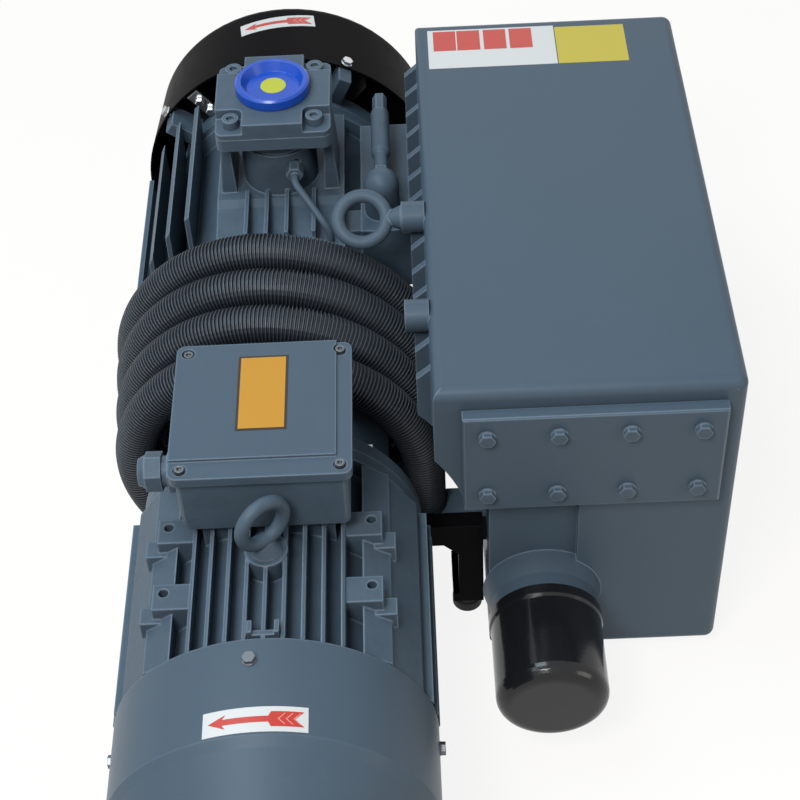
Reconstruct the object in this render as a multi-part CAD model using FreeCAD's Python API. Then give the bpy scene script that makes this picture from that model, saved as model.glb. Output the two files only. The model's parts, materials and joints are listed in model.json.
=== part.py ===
import FreeCAD, Part
import math
import os

V = FreeCAD.Vector

# Oil-lubricated rotary vane vacuum pump with flange motor, oil separator and finned cooler coil.
# The layout is drawn with x = 0 on the shaft axis, y = 0 on the separator's front wall, z = 0 on the floor.
# +y runs from the motor's fan to the pump's fan, +x towards the separator, +z up.
# The finished pieces are moved so that the origin is the centre of the four feet on the floor.

# Datum and general clearances
shaft_z = 201.0
fit_gap = 0.1
running_gap = 0.05
face_gap = 0.3
round_steps = 6

# Motor frame
frame_y0 = -232.0
frame_y1 = -5.0
frame_bore_r = 100.0
frame_core_r = frame_bore_r + 11.0
fin_r = frame_core_r + 20.0
fin_pitch = 15.6
fin_thickness = 3.4
fins_each_side = 4
panel_x = frame_core_r - 33.0
side_fin_r = frame_core_r + 26.0
side_fin_pitch = 17.0
side_fin_count = 5
side_fin_thickness = 4.0
pad_length_y = 26.0
pad_x0 = 64.0
pad_x1 = 95.0
pad_top_z = shaft_z + frame_core_r
pad_hole_r = 4.2
pad_front_y = -160.0
pad_rear_y = -90.0
pad_hole_inset = 9.0
pad_hole_depth = 20.0
pad_lug_overlap = 7.0
pad_lug_reach = 11.0
pad_lug_drop = 12.0
panel_top = frame_core_r - 6.0
panel_shelf_x = frame_core_r - 10.0
panel_shelf_z = 90.0
panel_slope_z = 84.0
panel_side_x = frame_core_r + 13.0
panel_side_z = 50.0
pad_lug_setback = 5.0
saddle_half_x = 56.0
saddle_setback = 16.0
frame_root_r = 80.0
cable_way_r = 12.0
cable_way_y = -50.0
clip_half_x = 13.0
clip_setback = 6.0
motor_flange_y0 = 0.0
motor_flange_y1 = 12.0
shield_thickness = 14.0
shield_edge_r = frame_core_r - 3.0
shield_edge = 8.0
shield_hub_wall = 8.0
shield_register_r = 95.0
shield_register_depth = 5.0

# Motor cowl and fan
cowl_r = fin_r + 5.0
cowl_wall = 2.0
cowl_rim_y = -211.0
cowl_shoulder_y = -300.0
cowl_end_y = -385.0
cowl_end_r = cowl_r - 24.0
cowl_end_round = 16.0
cowl_gap = 1.5
cowl_shoulder_drop = 4.0
cowl_shoulder_run = 9.0
cowl_screw_y = -231.0
cowl_screw_r = 3.0
cowl_lug_r = 8.0
cowl_screw_angles = (0.0, 94.0, 180.0, 270.0)
cowl_slot_rings = 5
cowl_slot_pitch = 17.0
cowl_slot_width = 8.0
cowl_slot_first_r = 18.0
cowl_spoke_width = 7.0
motor_fan_r = cowl_r - 18.0
motor_fan_blades = 8
motor_fan_hub_r = 30.0
motor_fan_y0 = -300.0
motor_fan_y1 = -264.0
fan_back_thickness = 4.0
fan_blade_thickness = 3.2

# Motor inside
shaft_r = 20.0
shaft_end_r = 19.0
rotor_seat_r = 24.0
fan_journal_r = 15.0
motor_shaft_y0 = -305.0
motor_shaft_shoulder_y = -262.0
motor_shaft_end_y = 94.0
stator_y0 = -172.0
stator_y1 = -62.0
stator_bore_r = 62.0
air_gap = 0.5
winding_length = 28.0
winding_outer_r = frame_bore_r - 6.0
winding_inner_r = 68.0
bearing_outer_r = 40.0
bearing_width = 18.0
motor_bearing_rear_y = -239.0
motor_bearing_front_y = -8.0
ball_count = 8

# Terminal box
lid_half_x = 75.0
lid_y0 = -98.5
lid_y1 = 52.5
box_base_z0 = shaft_z + fin_r + 1.0
lid_top_z = box_base_z0 + 71.0
lid_thickness = 12.0
lid_corner_r = 8.0
lid_border = 19.0
lid_border_drop = 3.0
lid_side_border = 13.0
box_base_inset = 5.0
box_wall = 5.0
box_corner_r = 7.0
box_post_r = 8.0
gasket_thickness = 1.5
lid_screw_inset = 10.0
lid_screw_r = 2.5
lid_screw_sink = 2.0
lid_socket_r = 5.6
earth_y = -2.0
earth_drop = 26.0
earth_screw_r = 3.0
board_height = 14.0
gland_y = -61.0
gland_z = box_base_z0 + 38.0
gland_bore_r = 8.0
gland_length = 34.0

# Motor lifting eye
motor_eye_y = -118.0
motor_eye_turn = 39.0
motor_eye_ring_r = 21.0
motor_eye_wire_r = 6.0
eye_boss_r = 18.0
eye_boss_top_z = box_base_z0
eye_shank_r = 6.0
eye_hole_depth = 24.0
eye_collar = 12.0

# Coupling housing and jaw coupling
housing_y0 = motor_flange_y1
housing_y1 = 246.0
housing_flange_thickness = 14.0
housing_r = 108.0
motor_flange_r = housing_r + 20.0
housing_end_flange = 12.0
end_flange_r = housing_r + 16.0
end_bolt_circle_r = housing_r + 8.2
end_bolt_r = 4.0
end_bolt_count = 6
end_bolt_angle = 35.0
motor_bolt_circle_r = housing_r + 10.0
housing_wall = 9.0
housing_hub_r = 40.0
opening_setback = 48.0
opening_angle = 44.0
hub_r = 44.0
hub_inner_r = 21.5
hub_gap = 1.0
jaw_count = 3
jaw_y0 = 97.0
jaw_length = 20.0
jaw_angle = 38.0
leg_angle = 20.0
hub_length = 44.0
pump_shaft_y0 = 120.0

# Oil cooler coil
coil_tube_r = 19.5
coil_gap = 9.5
coil_growth = 12.0
coil_shift_x = -4.0
coil_first_r = housing_r + coil_gap + coil_tube_r
coil_last_r = coil_first_r + coil_growth
coil_pitch = 46.0
coil_turns = 4
coil_first_top_y = 92.0
coil_drop_z = 150.0
fitting_block_z = 36.0
coil_plain_r = 13.0
coil_union_length = 40.0
fitting_corner_r = 10.0
fitting_shank = 14.0

# Pump cylinder, end plates and rotor
front_plate_y1 = 270.0
cylinder_y1 = 505.0
rear_plate_y1 = 525.0
cylinder_r = housing_r + 4.0
cylinder_flange = 14.0
bore_r = cylinder_r - 20.0
rotor_r = bore_r - 12.0
contact_gap = 0.1
rotor_end_gap = 0.1
vane_count = 3
vane_thickness = 6.0
vane_depth = 45.0
side_wall_x = -158.0
side_wall_top = 22.0
side_fin_xs = (-94.0, -116.0, -137.0)
cylinder_fin_r = cylinder_r + 40.0
cylinder_fin_thickness = 5.0
cylinder_fin_y0 = 321.0
roller_outer_r = 36.0
roller_width = 14.0
seal_r = 30.0
seal_width = 6.0
exhaust_hole_r = 7.0
exhaust_hole_x = 30.0
exhaust_hole_z = 274.0

# Inlet
inlet_y = 387.0
inlet_flange_half = 56.0
inlet_flange_thickness = 17.0
inlet_pad_thickness = 14.0
inlet_neck_height = 72.0
inlet_bolt_half = 40.5
inlet_pocket = 15.0
inlet_pocket_depth = 11.0
inlet_corner_r = 8.0
inlet_screw_r = 5.0
inlet_thread_r = 30.0
inlet_thread_depth = 13.0
valve_seat_r = 23.0
neck_r = 37.5
neck_top_r = 34.0
neck_step_drop = 23.0
neck_bore_r = 30.0
block_half_x = 64.0
block_y0 = 272.0
block_y1 = 478.0
block_top_z = shaft_z + cylinder_r + 9.0
inlet_pad_z0 = block_top_z + inlet_neck_height
inlet_flange_z0 = inlet_pad_z0 + inlet_pad_thickness
inlet_flange_top_z = inlet_flange_z0 + inlet_flange_thickness
neck_step_z = inlet_pad_z0 - neck_step_drop
block_rib_xs = (-33.0, -13.0, 7.0, 34.0)
block_rib_y0 = 285.0
valve_disc_r = 27.0
valve_disc_thickness = 4.0
valve_stem_r = 4.0
screen_z = inlet_flange_z0 - 30.0
screen_thickness = 3.0
screen_hole_r = 2.4
spring_wire_r = 0.8
spring_r = 11.0
spring_turns = 3

# Transport plug
plug_rim_r = 36.5
plug_rim_height = 12.0
plug_floor_height = 3.0
plug_wall = 4.0
plug_depth = 11.0

# Pump fan and cowl
pump_cowl_rim_r = 160.5
pump_cowl_end_r = 153.0
pump_cowl_y0 = 528.0
pump_cowl_y1 = 640.0
pump_cowl_round = 14.0
pump_cowl_wall = 2.0
pump_fan_r = 138.0
pump_fan_blades = 7
pump_fan_hub_r = 32.0
pump_cowl_slot_rings = 7
pump_cowl_screw_setback = 7.0
pump_fan_room = 30.0
cowl_lug_angles = (65.0, 145.0, 225.0, 305.0)
cowl_lug_half = 7.0

# Gas ballast valve and small oil pipe
ballast_x = 102.0
ballast_z = 345.0
ballast_dome_y = 331.0
ballast_dome_r = 17.5
ballast_thread_r = 6.0
ballast_stem_r = 7.0
ballast_knob_r = 9.5
pipe_r = 3.5
pipe_stub_r = 5.0
pipe_x = 17.0
pipe_z = neck_step_z - 13.0
pipe_end_x = 50.0
pipe_end_y = 289.0
pipe_end_z = 310.0

# Separator
box_x0 = 142.0
box_width = 270.0
box_length = 545.0
box_z0 = 20.0
box_z1 = 385.0
sump_x0 = 190.0
sump_top_z = 235.0
wall = 8.0
edge_round = 10.0
coil_scoop_r = coil_last_r + coil_tube_r + 5.5
coil_scoop_y1 = 250.0
cowl_scoop_r = pump_cowl_rim_r + 6.5
cowl_scoop_y0 = pump_cowl_y0 - 7.0
rib_pitch = 34.0
rib_first_y = 45.0
rib_count = 15
rib_thickness = 7.0
rib_depth = 13.0
rib_z0 = 240.0
rib_z1 = 375.0
boss_r = 15.0
boss_z = 371.0
boss_end_x = 121.0
boss_rib_numbers = (2, 6)
recess_x1 = sump_x0 + 81.5
recess_depth = 6.0
port_y0 = 300.0
port_y1 = 470.0
port_z0 = 238.0
port_z1 = 312.0
port_wall = 10.0
port_root_x = 80.0
reed_chamber = 16.0
reed_thickness = 0.8
reed_travel = 2.4

# Cover plate
plate_x0 = 166.5
plate_width = box_width - 41.5
plate_z0 = 247.0
plate_height = 118.0
plate_thickness = 12.0
cover_gasket = 1.0
cover_bolt_columns = 4
cover_bolt_r = 4.0
cover_bolt_x_inset = 21.25
cover_bolt_z_inset = 22.0
window_inset_x = 17.0
window_inset_z = 20.0

# Exhaust filters
filter_r = 29.0
filter_pitch = 64.0
filter_side_room = 18.0
filter_count = int((plate_width - filter_side_room) / filter_pitch)
filter_y0 = 32.0
filter_back_room = 123.0
filter_length = box_length - filter_back_room - filter_y0
filter_collar_r = 22.0
partition_thickness = 6.0
spring_leaf_thickness = 1.2
spring_leaf_half = 22.0

# Oil filter
can_x = sump_x0 + 50.8
can_z = 107.0
can_r = 52.0
can_length = 100.0
can_lip = 1.6
can_round = 14.0
can_sheet = 2.0
head_end_y = -31.0
head_r = 51.0
nipple_r = 11.0

# Outlet, glass and plugs
outlet_r = 29.0
outlet_boss_r = 45.0
outlet_boss_length = 16.0
outlet_x = box_x0 + box_width - 112.0
outlet_z = 300.0
glass_y = 300.0
glass_z = 110.0
glass_r = 18.0
filler_y = 380.0
filler_z = 170.0
filler_r = 14.0
drain_z = 45.0
drain_r = 10.0

# Separator lifting eye
sep_eye_ring_r = 23.0
sep_eye_wire_r = 6.5
sep_eye_centre_x = 84.0
sep_eye_tilt = 33.0

# Float valve
float_pivot_x = sump_x0 + 140.0
float_pivot_z = box_z0 + 40.0
float_y = box_length - 75.0
float_arm = 80.0
float_r = 22.0
float_pin_r = 3.0
float_arm_half = 3.0

# Feet and their brackets
foot_x0 = -117.0
foot_x1 = 171.0
foot_y0 = 77.0
foot_y1 = 437.0
foot_r = 15.0
foot_height = 50.0
foot_hole_r = 5.0
foot_bolt_r = 4.0
lug_thickness = 12.0
bracket_thickness = 18.0
bracket_front_y = 37.0
bracket_rear_y = 446.0
bracket_leg = 24.0
bracket_top_z = 165.0
bracket_arch_z = 138.0
bracket_web_z = 78.0

nodes = {}


def box(x0, x1, y0, y1, z0, z1):
    return Part.makeBox(x1 - x0, y1 - y0, z1 - z0, V(x0, y0, z0))


def rod(radius, length, start, direction):
    return Part.makeCylinder(radius, length, V(*start), V(*direction))


def shaft_rod(radius, y0, y1):
    """A cylinder on the shaft axis."""
    return rod(radius, y1 - y0, (0, y0, shaft_z), (0, 1, 0))


def shaft_ring(outer_r, inner_r, y0, y1):
    return shaft_rod(outer_r, y0, y1).cut(shaft_rod(inner_r, y0 - 1, y1 + 1))


def turned(points, centre=(0.0, shaft_z)):
    """A solid turned about a line along y; points are (radius, y)."""
    x, z = centre
    corners = [V(x + radius, y, z) for radius, y in points]
    face = Part.Face(Part.makePolygon(corners + [corners[0]]))
    return face.revolve(V(x, 0, z), V(0, 1, 0), 360)


def turned_up(points, centre):
    """A solid turned about a vertical line; points are (radius, z)."""
    x, y = centre
    corners = [V(x + radius, y, z) for radius, z in points]
    face = Part.Face(Part.makePolygon(corners + [corners[0]]))
    return face.revolve(V(x, y, 0), V(0, 0, 1), 360)


def upright_edges(block, height):
    """The upright edges of a block of that height, for rounding its corners."""
    return [edge for edge in block.Edges if abs(edge.BoundBox.ZLength - height) < 0.01]


def quarter_round(radius, centre_r, centre_y, toward_y):
    """Points on a quarter circle, from the side of a turned form round to its end."""
    points = []
    for number in range(round_steps + 1):
        turn = math.radians(90 * number / round_steps)
        points.append((centre_r + radius * math.cos(turn), centre_y + toward_y * radius * math.sin(turn)))
    return points


def end_bolt_places():
    """x and z of the bolts on the end flanges' circle."""
    pitch = 360 / end_bolt_count
    return [polar(end_bolt_angle + pitch * number, end_bolt_circle_r) for number in range(end_bolt_count)]


def motor_bolt_places():
    return [polar(45 + 90 * number, motor_bolt_circle_r) for number in range(4)]


def cover_bolt_places():
    """x and z of the cover plate's bolts, in two rows."""
    pitch = (plate_width - 2 * cover_bolt_x_inset) / (cover_bolt_columns - 1)
    rows = (plate_z0 + cover_bolt_z_inset, plate_z0 + plate_height - cover_bolt_z_inset)
    xs = [plate_x0 + cover_bolt_x_inset + column * pitch for column in range(cover_bolt_columns)]
    return [(x, z) for x in xs for z in rows]


def filter_places():
    """x of each exhaust filter; they share the cover plate's middle line."""
    middle = plate_x0 + plate_width / 2
    return [middle + (number - (filter_count - 1) / 2) * filter_pitch for number in range(filter_count)]


def inlet_bolt_places():
    return [(sx * inlet_bolt_half, inlet_y + sy * inlet_bolt_half) for sx in (-1, 1) for sy in (-1, 1)]


def extruded_y(points, y0, y1):
    """A prism along y from (x, z) corners."""
    corners = [V(x, y0, z) for x, z in points]
    face = Part.Face(Part.makePolygon(corners + [corners[0]]))
    return face.extrude(V(0, y1 - y0, 0))


def extruded_x(points, x0, x1):
    """A prism along x from (y, z) corners."""
    corners = [V(x0, y, z) for y, z in points]
    face = Part.Face(Part.makePolygon(corners + [corners[0]]))
    return face.extrude(V(x1 - x0, 0, 0))


def fused(pieces):
    pieces = list(pieces)
    joined = pieces[0].fuse(pieces[1:]) if len(pieces) > 1 else pieces[0]
    return joined.removeSplitter()


def group(pieces):
    return Part.makeCompound(list(pieces))


def around_shaft(piece, angle):
    turned_piece = piece.copy()
    turned_piece.rotate(V(0, 0, shaft_z), V(0, 1, 0), angle)
    return turned_piece


def polar(angle, radius):
    """x and z of a point at an angle above +x, about the shaft axis."""
    turn = math.radians(angle)
    return radius * math.cos(turn), shaft_z + radius * math.sin(turn)


def hexagon(across_flats, height, start, direction):
    radius = across_flats / math.sqrt(3)
    corners = []
    for number in range(7):
        turn = math.radians(60 * number)
        corners.append(V(radius * math.cos(turn), radius * math.sin(turn), 0))
    prism = Part.Face(Part.makePolygon(corners)).extrude(V(0, 0, height))
    prism.Placement = FreeCAD.Placement(V(*start), FreeCAD.Rotation(V(0, 0, 1), V(*direction)))
    return prism


def reverse(direction):
    return tuple(-part for part in direction)


def hex_bolt(size_r, shank, seat, direction, washer=True):
    """Hex bolt whose head stands along direction from its seat; the shank goes the other way."""
    head_height = size_r * 1.3
    flats = size_r * 3.3
    outward = V(*direction)
    start = V(*seat)
    pieces = [rod(size_r, shank, seat, reverse(direction))]
    rise = 0.0
    if washer:
        rise = size_r * 0.3
        pieces.append(rod(size_r * 2.0, rise, seat, direction))
    top = start + outward * rise
    pieces.append(hexagon(flats, head_height, tuple(top), direction))
    return fused(pieces)


def socket_screw(size_r, shank, seat, direction):
    outward = V(*direction)
    head_height = size_r * 1.8
    head = rod(size_r * 1.65, head_height, seat, direction)
    key_start = V(*seat) + outward * (head_height * 0.45)
    key = hexagon(size_r * 1.6, head_height, tuple(key_start), direction)
    return fused([head.cut(key), rod(size_r, shank, seat, reverse(direction))])


def sector(radius, inner_r, y0, y1, middle_angle, width):
    """Part of a ring on the shaft axis, width degrees wide."""
    piece = Part.makeCylinder(radius, y1 - y0, V(0, y0, shaft_z), V(0, 1, 0), width)
    piece = piece.cut(shaft_rod(inner_r, y0 - 1, y1 + 1))
    return around_shaft(piece, middle_angle - width / 2)


def eye_bolt(base, ring_centre, ring_normal, ring_r, wire_r, collar_r, shank_r, shank):
    """Lifting eye: ring, collar at the base and a shank into the casting."""
    base_point = V(*base)
    centre = V(*ring_centre)
    along = (centre - base_point).normalize()
    ring = Part.makeTorus(ring_r, wire_r, centre, V(*ring_normal))
    neck_length = (centre - base_point).Length - ring_r
    neck = Part.makeCone(collar_r, wire_r * 0.95, neck_length, base_point, along)
    stem = Part.makeCylinder(shank_r, shank, base_point, along.negative())
    return fused([ring, neck, stem])


def ball_bearing(y_middle, outer_r, inner_r, width):
    """Outer ring and inner ring with its balls; the balls clear the outer groove."""
    y0 = y_middle - width / 2
    y1 = y_middle + width / 2
    pitch_r = (outer_r + inner_r) / 2
    ball_r = (outer_r - inner_r) * 0.27
    shoulder = (outer_r - inner_r) * 0.22
    outer = shaft_ring(outer_r, outer_r - shoulder, y0, y1)
    groove = Part.makeTorus(pitch_r, ball_r + running_gap, V(0, y_middle, shaft_z), V(0, 1, 0))
    outer = outer.cut(groove)
    inner = shaft_ring(inner_r + shoulder, inner_r, y0, y1)
    balls = []
    for number in range(ball_count):
        x, z = polar(360 * number / ball_count, pitch_r)
        balls.append(Part.makeSphere(ball_r, V(x, y_middle, z)))
    return outer, fused([inner] + balls)


def half_turn_path(start, end, upper):
    """Half a turn in an upright plane, so that it leaves and arrives straight up or down."""
    middle = (start + end) * 0.5
    middle.z += (end - start).Length / 2 * (1 if upper else -1)
    return Part.Arc(start, middle, end).toShape()


def tube_along(edges, radius, start, direction):
    wire = Part.Wire(edges)
    circle = Part.Wire([Part.makeCircle(radius, V(*start), V(*direction))])
    return wire.makePipeShell([circle], True, True)


def build_motor_frame():
    core = shaft_rod(frame_core_r, frame_y0, frame_y1)
    root_z = shaft_z + frame_root_r
    frame = fused([core] + frame_fins() + frame_sides() + frame_pads(root_z) + [cowl_clip()] + [
        box(-saddle_half_x, saddle_half_x, lid_y0 + saddle_setback, frame_y1, root_z, box_base_z0),
        rod(eye_boss_r, eye_boss_top_z - root_z, (0, motor_eye_y, root_z), (0, 0, 1))])
    frame = frame.cut(shaft_rod(frame_bore_r, frame_y0 - 1, frame_y1 + 1))
    rim_r = cowl_r - cowl_wall - cowl_gap
    cowl_room = shaft_ring(rim_r + fin_r, rim_r, frame_y0 - 1, cowl_rim_y + 2 * cowl_gap)
    hole_z = eye_boss_top_z - eye_hole_depth
    eye_hole = rod(eye_shank_r + fit_gap, eye_hole_depth, (0, motor_eye_y, hole_z), (0, 0, 1))
    cable_way = rod(cable_way_r, box_base_z0 - root_z, (0, cable_way_y, root_z), (0, 0, 1))
    nodes["motor_frame"] = frame.cut(cowl_room).cut(eye_hole).cut(cable_way)


def frame_fins():
    """Upright fins above and below, trimmed to a cylinder."""
    trim = shaft_rod(fin_r, frame_y0, frame_y1)
    half = fin_thickness / 2
    fins = []
    for number in range(-fins_each_side, fins_each_side + 1):
        x = number * fin_pitch
        fin = box(x - half, x + half, frame_y0, frame_y1, shaft_z - cowl_r, shaft_z + cowl_r)
        fins.append(fin.common(trim))
    return fins


def frame_sides():
    """The smooth shoulder panel and the short level fins of each side."""
    half = side_fin_thickness / 2
    panel = [(panel_x, panel_top), (panel_shelf_x, panel_shelf_z), (panel_shelf_x, panel_slope_z)]
    panel.append((panel_side_x, panel_side_z))
    panel += [(x, -z) for x, z in reversed(panel)]
    sides = []
    for side in (-1, 1):
        corners = [(side * x, shaft_z + z) for x, z in panel]
        sides.append(extruded_y(corners, frame_y0, frame_y1))
        for number in range(side_fin_count):
            z = (number - (side_fin_count - 1) / 2) * side_fin_pitch
            reach = math.sqrt(side_fin_r ** 2 - z ** 2)
            inner, outer = sorted((side * frame_core_r, side * reach))
            sides.append(box(inner, outer, frame_y0, frame_y1, shaft_z + z - half, shaft_z + z + half))
    return sides


def frame_pads(root_z):
    """Four feet pads with their drilled tops and low lugs, unused on a flange motor."""
    pads = []
    for side in (-1, 1):
        inner, outer = sorted((side * pad_x0, side * pad_x1))
        lug_inner, lug_outer = sorted((side * (pad_x1 - pad_lug_overlap), side * (pad_x1 + pad_lug_reach)))
        hole_x = side * (pad_x1 - pad_hole_inset)
        for y in (pad_front_y, pad_rear_y):
            pad = box(inner, outer, y, y + pad_length_y, root_z, pad_top_z)
            lug = box(lug_inner, lug_outer, y - pad_lug_setback, y + pad_length_y / 2 - 1, root_z,
                      pad_top_z - pad_lug_drop)
            hole_y = y + pad_length_y - pad_hole_inset
            hole = rod(pad_hole_r, pad_hole_depth, (hole_x, hole_y, pad_top_z - pad_hole_depth), (0, 0, 1))
            pads.append(fused([pad, lug]).cut(hole))
    return pads


def cowl_clip():
    """Small forked lug on top of the fins, just behind the cowl's rim."""
    y = cowl_rim_y + clip_setback
    top = shaft_z + fin_r
    root = top - 12
    return fused([
        box(-clip_half_x, clip_half_x, y, y + 5, root, top + 1),
        box(-clip_half_x, -clip_half_x + 4, y, y + 12, root, top + 5),
        box(clip_half_x - 4, clip_half_x, y, y + 12, root, top + 5)])


def build_motor_shields():
    seat_r = bearing_outer_r + fit_gap
    hub_outer_r = seat_r + shield_hub_wall
    rear_y0 = frame_y0 - shield_thickness
    rear = turned([(seat_r, rear_y0), (hub_outer_r + 2, rear_y0), (shield_edge_r, frame_y0 - shield_edge),
                   (shield_edge_r, frame_y0), (hub_outer_r, frame_y0), (hub_outer_r, frame_y0 + 5),
                   (seat_r, frame_y0 + 5)])
    nodes["motor_end_shield"] = rear
    nose_y = motor_bearing_front_y - bearing_width / 2 - 1
    lug_r = motor_flange_r
    register_y = motor_flange_y1 - shield_register_depth
    front = turned([
        (seat_r, nose_y), (hub_outer_r, nose_y), (hub_outer_r, frame_y1), (frame_core_r, frame_y1),
        (frame_core_r, motor_flange_y0), (lug_r, motor_flange_y0), (lug_r, motor_flange_y1),
        (shield_register_r, motor_flange_y1), (shield_register_r, register_y), (seat_r, register_y)])
    for x, z in motor_bolt_places():
        front = front.cut(rod(end_bolt_r + fit_gap, motor_flange_y1, (x, motor_flange_y0 + 1, z), (0, 1, 0)))
    nodes["motor_flange_shield"] = front
    outers = []
    inners = []
    for y in (motor_bearing_rear_y, motor_bearing_front_y):
        outer, inner = ball_bearing(y, bearing_outer_r, shaft_r + fit_gap, bearing_width)
        outers.append(outer)
        inners.append(inner)
    nodes["motor_bearing_outer_rings"] = group(outers)
    nodes["motor_bearing_inner_rings"] = group(inners)


def build_motor_inside():
    core = shaft_ring(frame_bore_r - fit_gap, stator_bore_r, stator_y0, stator_y1)
    nodes["stator_core"] = core
    heads = []
    for y0, y1 in ((stator_y0 - winding_length, stator_y0), (stator_y1, stator_y1 + winding_length)):
        heads.append(shaft_ring(winding_outer_r, winding_inner_r, y0, y1))
    nodes["stator_windings"] = group(heads)
    rotor = shaft_ring(stator_bore_r - air_gap, rotor_seat_r + fit_gap, stator_y0, stator_y1)
    nodes["rotor_core"] = rotor
    shaft = fused([
        shaft_rod(fan_journal_r, motor_shaft_y0, motor_shaft_shoulder_y),
        shaft_rod(shaft_r, motor_shaft_shoulder_y, motor_flange_y1),
        shaft_rod(rotor_seat_r, stator_y0, stator_y1),
        shaft_rod(shaft_end_r, motor_flange_y1, motor_shaft_end_y)])
    nodes["motor_shaft"] = shaft


def fan(hub_outer_r, tip_r, blades, y0, y1):
    """Radial fan: hub, back disc and flat blades, which cool in either sense of turning."""
    bore = fan_journal_r + fit_gap
    hub = shaft_ring(hub_outer_r, bore, y0, y1)
    disc = shaft_ring(tip_r * 0.72, bore, y1 - fan_back_thickness, y1)
    pieces = [hub, disc]
    half = fan_blade_thickness / 2
    for number in range(blades):
        blade = box(hub_outer_r - 2, tip_r, y0 + 3, y1, shaft_z - half, shaft_z + half)
        blade = blade.common(shaft_rod(tip_r, y0, y1))
        pieces.append(around_shaft(blade, 360 * number / blades))
    return fused(pieces)


def slotted_end(shell, y0, y1, rings, reach):
    """Cuts round air slots, left standing on a cross of spokes, through a cowl's end wall."""
    half = cowl_spoke_width / 2
    spokes = fused([
        box(-half, half, y0 - 1, y1 + 1, shaft_z - reach, shaft_z + reach),
        box(-reach, reach, y0 - 1, y1 + 1, shaft_z - half, shaft_z + half)])
    slots = []
    for number in range(rings):
        radius = cowl_slot_first_r + number * cowl_slot_pitch
        slots.append(shaft_ring(radius + cowl_slot_width, radius, y0, y1).cut(spokes))
    return shell.cut(group(slots))


def build_motor_cowl():
    """Pressed sheet cowl with a stepped shoulder, its screws, and the frame's lugs that they bite in."""
    shoulder = [(cowl_r, cowl_shoulder_y), (cowl_r - cowl_shoulder_drop, cowl_shoulder_y - cowl_shoulder_run)]
    rounding = quarter_round(cowl_end_round, cowl_end_r - cowl_end_round, cowl_end_y + cowl_end_round, -1)
    outer = turned([(0, cowl_rim_y), (cowl_r, cowl_rim_y)] + shoulder + rounding + [(0, cowl_end_y)])
    inner = [(0, cowl_rim_y + 1), (cowl_r - cowl_wall, cowl_rim_y + 1)]
    inner += [(radius - cowl_wall, y) for radius, y in shoulder]
    inner += [(radius - cowl_wall, y + cowl_wall) for radius, y in rounding]
    shell = outer.cut(turned(inner + [(0, cowl_end_y + cowl_wall)]))
    shell = slotted_end(shell, cowl_end_y - 1, cowl_end_y + cowl_wall + 1, cowl_slot_rings, cowl_end_r)
    inside_r = cowl_r - cowl_wall
    root_r = frame_bore_r + 2
    rim_trim = shaft_rod(inside_r - fit_gap, frame_y0, frame_y1)
    frame = nodes["motor_frame"]
    screws = []
    for angle in cowl_screw_angles:
        x, z = polar(angle, 1)
        outward = (x, 0, z - shaft_z)
        seat_x, seat_z = polar(angle, cowl_r)
        root_x, root_z = polar(angle, root_r)
        hole_x, hole_z = polar(angle, inside_r - 12)
        hole = rod(cowl_screw_r + fit_gap, 20, (hole_x, cowl_screw_y, hole_z), outward)
        lug = rod(cowl_lug_r, inside_r - root_r, (root_x, cowl_screw_y, root_z), outward).common(rim_trim)
        frame = frame.fuse(lug).cut(hole)
        shell = shell.cut(hole)
        screws.append(hex_bolt(cowl_screw_r, 9, (seat_x, cowl_screw_y, seat_z), outward))
    nodes["motor_fan_cowl"] = shell
    nodes["motor_cowl_screws"] = group(screws)
    frame = frame.cut(shaft_rod(frame_bore_r, frame_y0 - 1, frame_y1 + 1))
    nodes["motor_frame"] = frame.removeSplitter()
    nodes["motor_fan"] = fan(motor_fan_hub_r, motor_fan_r, motor_fan_blades, motor_fan_y0, motor_fan_y1)


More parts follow.
